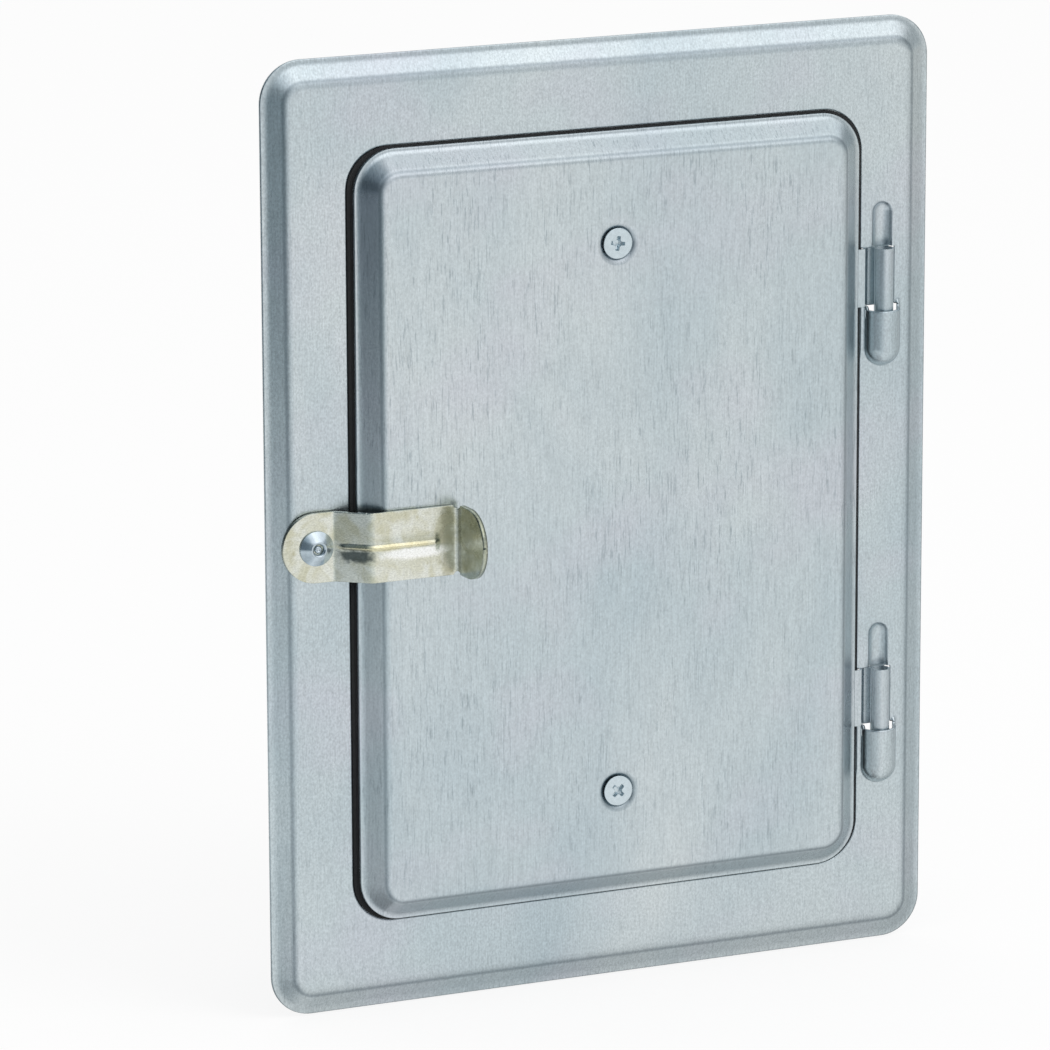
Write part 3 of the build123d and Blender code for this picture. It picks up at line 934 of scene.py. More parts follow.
@dataclass
class LatchLever:
    """The turning latch: a strip with a round end, a joggle up to the leaf, a pressed rib and a grip."""

    sheet: float = 1.5
    half_width: float = 10.0
    joggle_start: float = 5.8
    joggle_end: float = 14.5
    reach: float = 41.5
    grip_length: float = 16.8
    grip_angle: float = 86.0
    grip_corner: float = 9.6
    bend_radii: tuple[float, float, float] = (1.3, 4.3, 1.3)
    path_step: float = 0.4
    round_steps: int = 26
    fold_lead: float = 1.9
    notch: float = 1.0
    rib_start: float = 6.4
    rib_end: float = 34.5
    rib_half_width: float = 1.05
    rib_height: float = 0.8
    rib_run_out: float = 1.6
    swell_half_width: float = 3.8
    swell_share: float = 0.42
    swell_lead: float = 1.0
    swell_run_in: float = 4.0
    leaf_gap: float = 0.3

    def front_corners(self, low_out: float, high_out: float) -> np.ndarray:
        """Return the corners of the latch's front line, the underside's moved out square to each run.

        Args:
            low_out: Height of the underside at the pivot.
            high_out: Height of the underside over the leaf.

        Returns:
            (distance from the pivot, out) of each corner.
        """
        bend = math.radians(self.grip_angle)
        under = np.array([
            (-self.half_width, low_out),
            (self.joggle_start, low_out),
            (self.joggle_end, high_out),
            (self.reach, high_out),
            (self.reach + self.grip_length * math.cos(bend), high_out + self.grip_length * math.sin(bend)),
        ])
        run = np.diff(under, axis=0)
        run /= np.linalg.norm(run, axis=1)[:, None]
        square = np.column_stack([-run[:, 1], run[:, 0]])
        first = np.vstack([square[:1], square])
        last = np.vstack([square, square[-1:]])
        shared = (first + last) / (1 + np.sum(first * last, axis=1))[:, None]
        return under + shared * self.sheet

    def rounded_path(self, corners: np.ndarray) -> np.ndarray:
        """Run a line through corners, with an arc at each inner one, as closely spaced points.

        Args:
            corners: (distance from the pivot, out) of each corner.

        Returns:
            The line's points, closest where the grip's end gets narrow.
        """
        pieces, step = [corners[:1]], self.path_step
        for before, corner, after, radius in zip(corners, corners[1:], corners[2:], self.bend_radii):
            back = (before - corner) / np.linalg.norm(before - corner)
            ahead = (after - corner) / np.linalg.norm(after - corner)
            half = math.acos(float(np.dot(back, ahead))) / 2
            tangent = radius / math.tan(half)
            centre = corner + (back + ahead) / np.linalg.norm(back + ahead) * radius / math.sin(half)
            start, end = corner + back * tangent - centre, corner + ahead * tangent - centre
            first = math.atan2(start[1], start[0])
            swing = math.remainder(math.atan2(end[1], end[0]) - first, 2 * math.pi)
            angle = first + swing * np.linspace(0, 1, max(6, int(abs(swing) * radius / step * 2)))
            pieces.append(centre + radius * np.column_stack([np.cos(angle), np.sin(angle)]))
        pieces.append(corners[-1:])
        rough = np.concatenate(pieces)
        length = length_along(rough)
        quarter = np.linspace(0, np.pi / 2, self.round_steps)
        closing = length[-1] - self.grip_corner * (1 - np.sin(quarter))
        even = np.unique(np.round(np.concatenate([np.arange(0, closing[0], step), length, closing]), 4))
        return np.column_stack([np.interp(even, length, rough[:, i]) for i in range(2)])

    def half_width_at(self, along: np.ndarray, x: np.ndarray, bend: float) -> np.ndarray:
        """Work out half the strip's width along its length.

        It follows a half circle round the pivot, dips in a small half circle each side of the grip's bend,
        and ends in the grip's rounded corners.

        Args:
            along: The length run at each point of the front line.
            x: Each point's distance across from the pivot.
            bend: The length run at the grip's bend.

        Returns:
            The half width at each point.
        """
        width = np.where(x < 0, half_circle(self.half_width, x), self.half_width)
        width = width - half_circle(self.notch, along - bend)
        corner = np.clip(along - (along[-1] - self.grip_corner), 0, None)
        rounded = self.half_width - self.grip_corner + half_circle(self.grip_corner, corner)
        return np.where(corner > 0, rounded, width)

    def lift(self, x: np.ndarray, y: np.ndarray) -> np.ndarray:
        """Work out the pressed rib: a cosine crown with run-out ends, on a wider swelling past the joggle.

        Args:
            x: Each point's distance along from the pivot, as a column.
            y: The points' distances across from the middle line.

        Returns:
            How far each point is lifted, square to the strip.
        """
        into = smooth_step((x - self.rib_start) / self.rib_run_out)
        ends = into * smooth_step((self.rib_end - x) / self.rib_run_out)
        swell = bump(y, self.swell_half_width)
        past_joggle = smooth_step((x - self.joggle_end + self.swell_lead) / self.swell_run_in)
        crown = (1 - self.swell_share) * bump(y, self.rib_half_width)
        return self.rib_height * ends * (crown + self.swell_share * swell * past_joggle)

    def build(self) -> bpy.types.Object:
        """Make the latch in place of its solid.

        Returns:
            The finished latch.
        """
        left = node_span("latch_lever")[0]
        low_out = node_out("latch_lever")[0]
        high_out = node_out("door_leaf")[1] + self.leaf_gap
        pivot_x = left + self.half_width
        line = self.rounded_path(self.front_corners(low_out, high_out))
        round_end = self.half_width * (1 - np.cos(np.linspace(0, np.pi / 2, self.round_steps)))
        extra = np.column_stack([round_end - self.half_width, np.full(self.round_steps, line[0, 1])])
        line = np.concatenate([extra[:-1], line[line[:, 0] > -SAME_PLACE]])
        along = length_along(line)
        bend = float(along[np.argmax(line[:, 0] > self.reach - self.fold_lead)])
        width = self.half_width_at(along, line[:, 0], bend)
        inner = np.linspace(-0.13, 0.13, 21)
        side = np.concatenate([np.linspace(0.15, 0.45, 9), np.linspace(0.5, 0.94, 8), [0.97, 0.99, 1.0]])
        across = np.concatenate([-side[::-1], inner, side])
        y = width[:, None] * across[None]
        lift = self.lift(line[:, :1], y)
        tangent = np.gradient(line, axis=0)
        tangent /= np.linalg.norm(tangent, axis=1)[:, None]
        place_x = pivot_x + line[:, :1] - tangent[:, 1:] * lift
        place_out = line[:, 1:] + tangent[:, :1] * lift
        points = np.stack([place_x, y, place_out], axis=-1).transpose(1, 0, 2)
        piece = build_mesh("latch_strip", [Patch(points)])
        thicken(piece, self.sheet)
        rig.replaces(piece, "latch_lever")
        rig.slot(piece, "yellow_zinc")
        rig.ride(piece, Body.LATCH.value)
        return piece


class Shader:
    """A material or a surround under construction: adds nodes and links them."""

    def __init__(self, name: str, world: bool = False) -> None:
        """Start an empty set of nodes.

        Args:
            name: The material's name.
            world: True for the scene's surround, False for a piece's material.
        """
        self.material = (bpy.data.worlds if world else bpy.data.materials).new(name)
        self.material.use_nodes = True
        self.nodes = self.material.node_tree.nodes
        self.links = self.material.node_tree.links
        self.nodes.clear()
        self.output = self.nodes.new("ShaderNodeOutput" + ("World" if world else "Material"))

    def add(self, kind: str, inputs: dict | None = None, **settings: object) -> bpy.types.Node:
        """Add a node.

        Args:
            kind: The node's type, without the ShaderNode in front.
            inputs: Values or sockets for its inputs, by name or number.
            settings: Attributes to set on the node.

        Returns:
            The node.
        """
        node = self.nodes.new("ShaderNode" + kind)
        for key, value in settings.items():
            setattr(node, key, value)
        for key, value in (inputs or {}).items():
            if isinstance(value, bpy.types.NodeSocket):
                self.links.new(value, node.inputs[key])
            else:
                node.inputs[key].default_value = value
        return node

    def place(self) -> bpy.types.NodeSocket:
        """Return the place in the piece's own frame, in metres."""
        return self.add("TexCoord").outputs["Object"]

    def noise(self, scale: Triple, detail: float, distortion: float = 0.0) -> bpy.types.NodeSocket:
        """Return a noise value, 0 to 1, with its own scale along each axis, in features per metre."""
        spread = self.add("Mapping", {"Vector": self.place(), "Scale": scale}).outputs[0]
        return self.add("TexNoise", {"Vector": spread, "Scale": 1.0, "Detail": detail,
                                     "Distortion": distortion}).outputs[0]

    def ranged(self, value: bpy.types.NodeSocket, low: float, high: float, to_low: float = 0.0,
               to_high: float = 1.0, curve: str = "LINEAR") -> bpy.types.NodeSocket:
        """Move a value from one range to another and hold it inside it.

        Args:
            value: The value.
            low: Where its range begins.
            high: Where its range ends.
            to_low: Where the new range begins.
            to_high: Where the new range ends.
            curve: LINEAR, or SMOOTHSTEP to ease both ends.

        Returns:
            The moved value.
        """
        return self.add("MapRange", {"Value": value, "From Min": low, "From Max": high, "To Min": to_low,
                                     "To Max": to_high}, interpolation_type=curve).outputs[0]

    def math(self, operation: str, first: object, second: object = 0.0) -> bpy.types.NodeSocket:
        """Return the result of a calculation with one or two numbers."""
        return self.add("Math", {0: first, 1: second}, operation=operation).outputs[0]

    def vector(self, operation: str, first: object, second: Triple | bpy.types.NodeSocket = (0.0, 0.0, 0.0),
               ) -> bpy.types.NodeSocket:
        """Return the result of a calculation with one or two vectors, which is a number for a length."""
        node = self.add("VectorMath", {0: first, 1: second}, operation=operation)
        return node.outputs["Value" if operation == "LENGTH" else "Vector"]

    def scaled(self, colour: object, share: bpy.types.NodeSocket) -> bpy.types.NodeSocket:
        """Return a colour made brighter or darker by a share."""
        return self.add("VectorMath", {0: colour, "Scale": share}, operation="SCALE").outputs[0]

    def along(self, vector: bpy.types.NodeSocket, axis: int) -> bpy.types.NodeSocket:
        """Return a vector's number along the axis 0, 1 or 2."""
        return self.add("SeparateXYZ", {0: vector}).outputs[axis]

    def ramp(self, value: bpy.types.NodeSocket, stops: Shades) -> bpy.types.NodeSocket:
        """Run a colour smoothly through stops.

        Args:
            value: Where on the ramp, 0 to 1.
            stops: The place and the colour of each stop.

        Returns:
            The colour at the value.
        """
        node = self.add("ValToRGB", {0: value})
        band = node.color_ramp
        band.interpolation = "EASE"
        while len(band.elements) < len(stops):
            band.elements.new(0.5)
        for element, (place, shade) in zip(band.elements, stops):
            element.position = place
            element.color = shade
        return node.outputs[0]

    def mix(self, share: object, first: object, second: object) -> bpy.types.NodeSocket:
        """Return a blend of two colours."""
        return self.add("Mix", {0: share, 6: first, 7: second}, data_type="RGBA").outputs[2]

    def rounded_normal(self, radius: float, height: bpy.types.NodeSocket, strength: float,
                       depth: float) -> bpy.types.NodeSocket:
        """Soften the edges and give the surface a fine relief.

        Args:
            radius: The edges' rounding, in metres.
            height: The relief's height, 0 to 1.
            strength: The relief's share.
            depth: The relief's full depth, in metres.

        Returns:
            The normal.
        """
        edge = self.add("Bevel", {"Radius": radius}, samples=4).outputs[0]
        return self.add("Bump", {"Height": height, "Normal": edge, "Strength": strength,
                                 "Distance": depth}).outputs[0]

    def close(self, surface: bpy.types.Node) -> bpy.types.ID:
        """Return the material or surround, closed with this surface."""
        self.links.new(surface.outputs[0], self.output.inputs["Surface"])
        return self.material

    def finish(self, **inputs: object) -> bpy.types.Material:
        """Return the material, closed with one principled surface whose inputs have _ for spaces."""
        named = {key.replace("_", " "): value for key, value in inputs.items()}
        return self.close(self.add("BsdfPrincipled", named))


def rgb(red: float, green: float, blue: float) -> Colour:
    """Return an opaque colour."""
    return (red, green, blue, 1.0)


@dataclass(frozen=True)
class GalvanisedSteel:
    """Zinc-coated sheet: pale blue-grey, clouded, with short upright flecks from rolling."""

    name: str
    light: Colour = rgb(0.605, 0.655, 0.670)
    deep: Colour = rgb(0.510, 0.585, 0.620)
    blush: Colour = rgb(0.600, 0.610, 0.665)
    blush_share: float = 0.55
    fleck: float = 0.45
    fleck_tone: Colour = rgb(0.22, 0.27, 0.30)
    fleck_threshold: float = 0.575
    fleck_edge: float = 0.12
    fleck_least: float = 0.35
    hair: float = 0.05
    grain: float = 0.10
    grain_height: float = 0.6
    roughness: float = 0.28
    roughness_swing: float = 0.05
    relief: float = 0.10
    relief_depth: float = 0.0001
    edge_radius: float = 0.00018
    # Painted shade: a dark line along the bevel's crest, at the height crease_out above the wall.
    crease_out: float | None = None
    crease_half: float = 0.0003
    crease_shade: float = 0.42
    crest_shade_tone: Colour = rgb(0.13, 0.17, 0.20)
    cloud_scale: Triple = (14.0, 14.0, 9.0)
    blush_scale: Triple = (22.0, 22.0, 30.0)
    streak_scale: Triple = (2300.0, 600.0, 190.0)
    group_scale: Triple = (40.0, 40.0, 22.0)
    grain_scale: Triple = (1900.0, 1900.0, 1300.0)
    hair_scale: Triple = (2600.0, 800.0, 110.0)

    def painted_crest_shade(self, shader: Shader) -> bpy.types.NodeSocket:
        """Paint shade as a dark line along the pressed crest, found by its height above the wall: it stands in for the
        dark reflection that the crest shows.

        Args:
            shader: The material under construction.

        Returns:
            The painted shade's strength at the crest's height, easing to 0 at a half width away.
        """
        out = shader.math("MULTIPLY", shader.along(shader.place(), 1), -1.0)
        away = shader.math("ABSOLUTE", shader.math("SUBTRACT", out, self.crease_out))
        return shader.ranged(away, self.crease_half, 0.0, to_high=self.crease_shade, curve="SMOOTHSTEP")

    def material(self) -> bpy.types.Material:
        """Mix two zinc tones by clouds, add a faint blush, then flecks, the painted crest shade, grain and fine hairs.

        Returns:
            The node material.
        """
        shader = Shader(self.name)
        clouds = shader.noise(self.cloud_scale, 3.0, distortion=0.4)
        tone = shader.mix(shader.ranged(clouds, 0.35, 0.65), self.light, self.deep)
        bloom = shader.noise(self.blush_scale, 2.0)
        tone = shader.mix(shader.ranged(bloom, 0.50, 0.70, to_high=self.blush_share), tone, self.blush)
        streaks = shader.noise(self.streak_scale, 2.0)
        fleck = shader.ranged(streaks, self.fleck_threshold, self.fleck_threshold + self.fleck_edge)
        groups = shader.ranged(shader.noise(self.group_scale, 2.0), 0.35, 0.65, to_low=self.fleck_least)
        fleck = shader.math("MULTIPLY", fleck, groups)
        tone = shader.mix(shader.math("MULTIPLY", fleck, self.fleck), tone, self.fleck_tone)
        # Painted shade along the crest.
        if self.crease_out is not None:
            tone = shader.mix(self.painted_crest_shade(shader), tone, self.crest_shade_tone)
        grain = shader.noise(self.grain_scale, 2.0)
        speck = shader.ranged(grain, 0.3, 0.7, -self.grain, self.grain)
        hairs = shader.ranged(shader.noise(self.hair_scale, 1.0), 0.3, 0.7, -self.hair, self.hair)
        colour = shader.scaled(tone, shader.math("ADD", shader.math("ADD", speck, hairs), 1.0))
        swing = self.roughness_swing
        rough = shader.ranged(clouds, 0.3, 0.7, self.roughness - swing, self.roughness + swing)
        height = shader.math("SUBTRACT", shader.math("MULTIPLY", grain, self.grain_height), fleck)
        normal = shader.rounded_normal(self.edge_radius, height, self.relief, self.relief_depth)
        return shader.finish(Base_Color=colour, Metallic=1.0, Roughness=rough, Normal=normal)


@dataclass(frozen=True)
class SoftPatch:
    """A soft oval of another tone: its middle and half lengths in metres, with 0 and 1 for the depth."""

    centre: Triple
    half: Triple
    ragged: float
    share: float
    tone: Colour

    def over(self, shader: Shader, ground: bpy.types.NodeSocket) -> bpy.types.NodeSocket:
        """Lay the patch over a ground. Its share falls with the distance, which a noise makes ragged.

        Args:
            shader: The material under construction.
            ground: The colour under it.

        Returns:
            The blended colour.
        """
        level = shader.vector("MULTIPLY", shader.place(), (1.0, 0.0, 1.0))
        away = shader.vector("DIVIDE", shader.vector("SUBTRACT", level, self.centre), self.half)
        noise = shader.noise((500.0, 500.0, 700.0), 4.0)
        broken = shader.math("ADD", shader.vector("LENGTH", away),
                             shader.ranged(noise, 0.3, 0.7, -self.ragged, self.ragged))
        inside = shader.ranged(broken, 1.2, 0.5, curve="SMOOTHSTEP")
        return shader.mix(shader.math("MULTIPLY", inside, self.share), ground, self.tone)


@dataclass(frozen=True)
class YellowZinc:
    """Yellow-passivated zinc: pale olive gold, with a painted highlight under the rib and painted shade at the joggle,
    on the grip and by its bend.
    """

    name: str = "yellow_zinc"
    pale: Colour = rgb(0.72, 0.735, 0.670)
    olive: Colour = rgb(0.62, 0.610, 0.475)
    dusk: Colour = rgb(0.36, 0.33, 0.18)
    # Painted shade by the grip's bend.
    fold: SoftPatch = SoftPatch(
        (-0.0525, 0.0, 0.0), (0.0022, 1.0, 0.0140), 0.35, 0.55, rgb(0.30, 0.29, 0.19))
    # Painted shade on the grip's inner face.
    grip: SoftPatch = SoftPatch(
        (-0.0458, 0.0, 0.0), (0.0036, 1.0, 0.0220), 0.20, 0.60, rgb(0.34, 0.36, 0.25))
    gold: SoftPatch = SoftPatch(
        (-0.0690, 0.0, 0.0), (0.0150, 1.0, 0.0011), 0.10, 0.75, rgb(0.80, 0.72, 0.45))
    # Painted highlight: a near-white band just below the rib, standing in for the bright reflection there.
    painted_rib_highlight: SoftPatch = SoftPatch(
        (-0.0625, 0.0, -0.0024), (0.0115, 1.0, 0.0019), 0.12, 1.0, rgb(0.96, 0.96, 0.93))
    # Painted shade: a dark patch under the rib's left end, on the joggle.
    painted_joggle_shade: SoftPatch = SoftPatch(
        (-0.0790, 0.0, -0.0024), (0.0050, 1.0, 0.0020), 0.25, 0.90, rgb(0.06, 0.08, 0.08))

    def material(self) -> bpy.types.Material:
        """Cloud two tones, add dusky spots, lay the patches over them, painted highlight and painted shade among them,
        and break them with a fine grain.

        Returns:
            The node material.
        """
        shader = Shader(self.name)
        clouds = shader.noise((160.0, 160.0, 160.0), 4.0, distortion=0.8)
        tone = shader.mix(shader.ranged(clouds, 0.38, 0.62), self.pale, self.olive)
        spots = shader.noise((420.0, 420.0, 300.0), 5.0)
        tone = shader.mix(shader.ranged(spots, 0.62, 0.76, to_high=0.6), tone, self.dusk)
        for patch in (self.fold, self.grip, self.gold, self.painted_rib_highlight, self.painted_joggle_shade):
            tone = patch.over(shader, tone)
        grain = shader.noise((1500.0, 1500.0, 2400.0), 3.0)
        colour = shader.scaled(tone, shader.ranged(grain, 0.3, 0.7, 0.86, 1.12))
        rough = shader.ranged(clouds, 0.3, 0.7, 0.16, 0.30)
        normal = shader.rounded_normal(0.0003, grain, 0.12, 0.0001)
        return shader.finish(Base_Color=colour, Metallic=1.0, Roughness=rough, Normal=normal)


@dataclass(frozen=True)
class BrightZinc:
    """Bright zinc plating on screws, rivets, pins and straps."""

    name: str
    colour: Colour
    roughness: float = 0.25

    def material(self) -> bpy.types.Material:
        """Vary one tone and its roughness by a fine grain.

        Returns:
            The node material.
        """
        shader = Shader(self.name)
        grain = shader.noise((900.0, 900.0, 900.0), 3.0)
        colour = shader.scaled(self.colour[:3], shader.ranged(grain, 0.3, 0.7, 0.9, 1.08))
        rough = shader.ranged(grain, 0.3, 0.7, self.roughness - 0.04, self.roughness + 0.06)
        normal = shader.rounded_normal(0.00015, grain, 0.08, 0.00005)
        return shader.finish(Base_Color=colour, Metallic=1.0, Roughness=rough, Normal=normal)


@dataclass(frozen=True)
class FibreTape:
    """Charcoal glass-fibre tape, woven, in tones pushed near black as painted shade for the gap round the leaf."""

    name: str = "seal_tape"
    # Painted shade: both tones near black, so that the gap round the leaf shows dark.
    shadow: Colour = rgb(0.010, 0.011, 0.012)
    yarn: Colour = rgb(0.035, 0.036, 0.038)

    def material(self) -> bpy.types.Material:
        """Mottle two dark tones by a noise, over ribs raised by a wave.

        Returns:
            The node material.
        """
        shader = Shader(self.name)
        rib = shader.add("TexWave", {"Vector": shader.place(), "Scale": 420.0, "Distortion": 1.5}).outputs[1]
        colour = shader.mix(shader.noise((1400.0, 1400.0, 1400.0), 3.0), self.shadow, self.yarn)
        normal = shader.add("Bump", {"Height": rib, "Strength": 0.5, "Distance": 0.0002}).outputs[0]
        return shader.finish(Base_Color=colour, Roughness=0.9, Normal=normal)


@dataclass(frozen=True)
class MineralBoard:
    """Pale pressed mineral-fibre board."""

    name: str = "mineral_board"
    buff: Colour = rgb(0.62, 0.57, 0.46)
    cream: Colour = rgb(0.76, 0.72, 0.62)

    def material(self) -> bpy.types.Material:
        """Mix two tones by a noise drawn out like fibres, which gives the relief too.

        Returns:
            The node material.
        """
        shader = Shader(self.name)
        fibre = shader.noise((300.0, 300.0, 900.0), 5.0, distortion=1.0)
        colour = shader.mix(shader.ranged(fibre, 0.3, 0.7), self.buff, self.cream)
        normal = shader.add("Bump", {"Height": fibre, "Strength": 0.4, "Distance": 0.0003}).outputs[0]
        return shader.finish(Base_Color=colour, Roughness=0.95, Normal=normal)


class Finishes:
    """Every finish of the door, made once and put on each piece by its material slot."""

    def __init__(self) -> None:
        """Make the materials."""
        finishes = (
            # The plate and the leaf get a painted shade line along their bevels' crests, at the crest heights given.
            GalvanisedSteel("galvanised_plate", fleck=0.22, grain=0.13, crease_out=0.00326,
                            crease_half=0.00046, crease_shade=0.5),
            GalvanisedSteel("galvanised_leaf", fleck=0.50, grain=0.09, crease_out=0.01018,
                            crease_half=0.00050, crease_shade=0.5),
            GalvanisedSteel("galvanised_pan", fleck=0.25),
            GalvanisedSteel("galvanised_collar", fleck=0.30, roughness=0.4),
            BrightZinc("anchor_strap", rgb(0.50, 0.54, 0.56), 0.38),
            BrightZinc("rivet_steel", rgb(0.56, 0.63, 0.68), 0.13),
            BrightZinc("zinc_screw", rgb(0.62, 0.70, 0.74), 0.26),
            BrightZinc("pin_steel", rgb(0.50, 0.53, 0.55), 0.25),
            YellowZinc(),
            FibreTape(),
            MineralBoard(),
        )
        self.by_slot = {finish.name: finish.material() for finish in finishes}

    def dress(self, piece: bpy.types.Object, slot: str) -> None:
        """Put one slot's finish on a piece.

        Args:
            piece: The piece's object.
            slot: The material slot's name.
        """
        piece.data.materials.clear()
        piece.data.materials.append(self.by_slot[slot])
        LOG.info("%s wears %s", piece.name, slot)

    def dress_nodes(self) -> None:
        """Put each node's finish on it, as the record's slots say."""
        for part in frame["record"]["subparts"]:
            self.dress(frame["nodes"][part["node"]], part["material_slot"])


def new_object(name: str, data: bpy.types.ID) -> bpy.types.Object:
    """Make an object and link it to the scene.

    Args:
        name: The object's name.
        data: Its mesh, lamp or camera.

    Returns:
        The object.
    """
    thing = bpy.data.objects.new(name, data)
    bpy.context.scene.collection.objects.link(thing)
    return thing


def level_sheet(name: str, size: float, drop: float) -> bpy.types.Object:
    """Lay a square sheet under the door.

    Args:
        name: The sheet's name.
        size: Its side, in metres.
        drop: Its depth under the door's lowest point, in metres.

    Returns:
        The sheet's object.
    """
    half, level = size / 2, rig.bounds()[0].z - drop
    corners = [(-half, -half, level), (half, -half, level), (half, half, level), (-half, half, level)]
    mesh = bpy.data.meshes.new(name)
    mesh.from_pydata(corners, [], [(0, 1, 2, 3)])
    return new_object(name, mesh)


def direction(azimuth: float, elevation: float) -> Vector:
    """Return the unit vector out from the door at a compass angle and a height angle, in degrees."""
    turn, rise = math.radians(azimuth), math.radians(elevation)
    return Vector((math.sin(turn) * math.cos(rise), -math.cos(turn) * math.cos(rise), math.sin(rise)))


def facing(place: Vector, target: Vector) -> Matrix:
    """Return the placing of something whose -Z looks from a place at a target, upright."""
    return Matrix.Translation(place) @ (target - place).to_track_quat("-Z", "Y").to_matrix().to_4x4()


@dataclass(frozen=True)
class SoftLamp:
    """A rectangular soft lamp that faces the door and doesn't show in reflections."""

    name: str
    width: float
    height: float
    azimuth: float
    elevation: float
    distance: float
    power: float

    def hang(self) -> None:
        """Put the lamp in its place."""
        data = bpy.data.lights.new(self.name, "AREA")
        data.shape = "RECTANGLE"
        data.size = self.width
        data.size_y = self.height
        data.energy = self.power
        lamp = new_object(self.name, data)
        place = direction(self.azimuth, self.elevation) * self.distance
        lamp.matrix_world = facing(place, Vector((0, 0, 0)))
        lamp.visible_glossy = False


@dataclass(frozen=True)
class ViewPoint:
    """The camera, at the photograph's viewing angle."""

    azimuth: float = -23.35
    elevation: float = 13.83
    roll: float = 0.23
    distance: float = 1.8317
    lens: float = 221.1
    sensor: float = 36.0
    aim: Triple = (-0.0233, 0.0, -0.0012)

    def set_up(self) -> None:
        """Put the camera in its place."""
        data = bpy.data.cameras.new("camera")
        data.lens = self.lens
        data.sensor_width = self.sensor
        camera = new_object("camera", data)
        aim = Vector(self.aim)
        place = aim + direction(self.azimuth, self.elevation) * self.distance
        camera.matrix_world = facing(place, aim) @ Matrix.Rotation(math.radians(-self.roll), 4, "Z")
        bpy.context.scene.camera = camera


def compass(shader: Shader, place: bpy.types.NodeSocket) -> bpy.types.NodeSocket:
    """Return the angle round the door's upright axis as 0 to 1, with 0.5 straight in front of it."""
    turned_place = shader.add("Mapping", {"Vector": place, "Rotation": (0.0, 0.0, math.pi / 2)}).outputs[0]
    return shader.add("TexGradient", {"Vector": turned_place}, gradient_type="RADIAL").outputs[1]


def round_stops(shades: Shades) -> Shades:
    """Return shades given by compass angle as stops for the compass."""
    return tuple((azimuth / 360 + 0.5, shade) for azimuth, shade in shades)


def only_gloss(screen: bpy.types.Object) -> None:
    """Let a lit screen show in reflections and nowhere else, as a part of the stage.

    Args:
        screen: The screen's object.
    """
    for ray in ("camera", "diffuse", "transmission", "volume_scatter", "shadow"):
        setattr(screen, "visible_" + ray, False)
    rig.stage(screen)


@dataclass(frozen=True)
class ReflectionDome:
    """A wide dome that only glosses see: a pale room, dark on its left and along its horizon."""

    radius: float = 40.0
    strength: float = 1.7
    columns: int = 97
    rows: int = 49
    round_shades: Shades = (
        (-180.0, rgb(0.70, 0.72, 0.73)),
        (-152.0, rgb(0.45, 0.48, 0.50)),
        (-118.0, rgb(0.020, 0.025, 0.030)),
        (-95.0, rgb(0.010, 0.014, 0.019)),
        (-62.0, rgb(0.060, 0.085, 0.105)),
        (-34.0, rgb(0.26, 0.31, 0.34)),
        (-14.0, rgb(0.66, 0.69, 0.71)),
        (8.0, rgb(1.0, 1.0, 1.0)),
        (28.0, rgb(0.86, 0.87, 0.88)),
        (60.0, rgb(0.66, 0.68, 0.69)),
        (120.0, rgb(0.50, 0.53, 0.55)),
        (152.0, rgb(0.62, 0.64, 0.65)),
        (180.0, rgb(0.70, 0.72, 0.73)),
    )
    high_shades: Shades = (
        (-90.0, rgb(0.59, 0.60, 0.60)),
        (-2.0, rgb(0.59, 0.60, 0.60)),
        (3.0, rgb(0.46, 0.48, 0.49)),
        (19.0, rgb(0.42, 0.44, 0.45)),
        (31.0, rgb(0.95, 0.95, 0.96)),
        (50.0, rgb(1.0, 1.0, 1.0)),
        (90.0, rgb(0.62, 0.63, 0.64)),
    )

    def hang(self) -> None:
        """Hang the dome. Its shade is one ramp round the compass, times one ramp of height."""
        turn = np.linspace(-np.pi, np.pi, self.columns)
        rise = np.linspace(-np.pi / 2, np.pi / 2, self.rows)
        turns, rises = np.meshgrid(turn, rise)
        across, ahead = np.sin(turns) * np.cos(rises), -np.cos(turns) * np.cos(rises)
        points = np.stack([across, ahead, np.sin(rises)], axis=-1)
        mesh = bpy.data.meshes.new("reflection_dome")
        flat = points.reshape(-1, 3) * self.radius
        mesh.from_pydata(flat.tolist(), [], Patch(points).faces().tolist())
        shader = Shader("reflection_dome")
        place = shader.place()
        upward = shader.along(shader.vector("NORMALIZE", place), 2)
        height = shader.math("ADD", shader.math("MULTIPLY", upward, 0.5), 0.5)
        high_stops = tuple((math.sin(math.radians(tilt)) / 2 + 0.5, tone) for tilt, tone in self.high_shades)
        round_shade = shader.ramp(compass(shader, place), round_stops(self.round_shades))
        shade = shader.vector("MULTIPLY", round_shade, shader.ramp(height, high_stops))
        glow = shader.add("Emission", {"Color": shade, "Strength": self.strength})
        mesh.materials.append(shader.close(glow))
        only_gloss(new_object("reflection_dome", mesh))


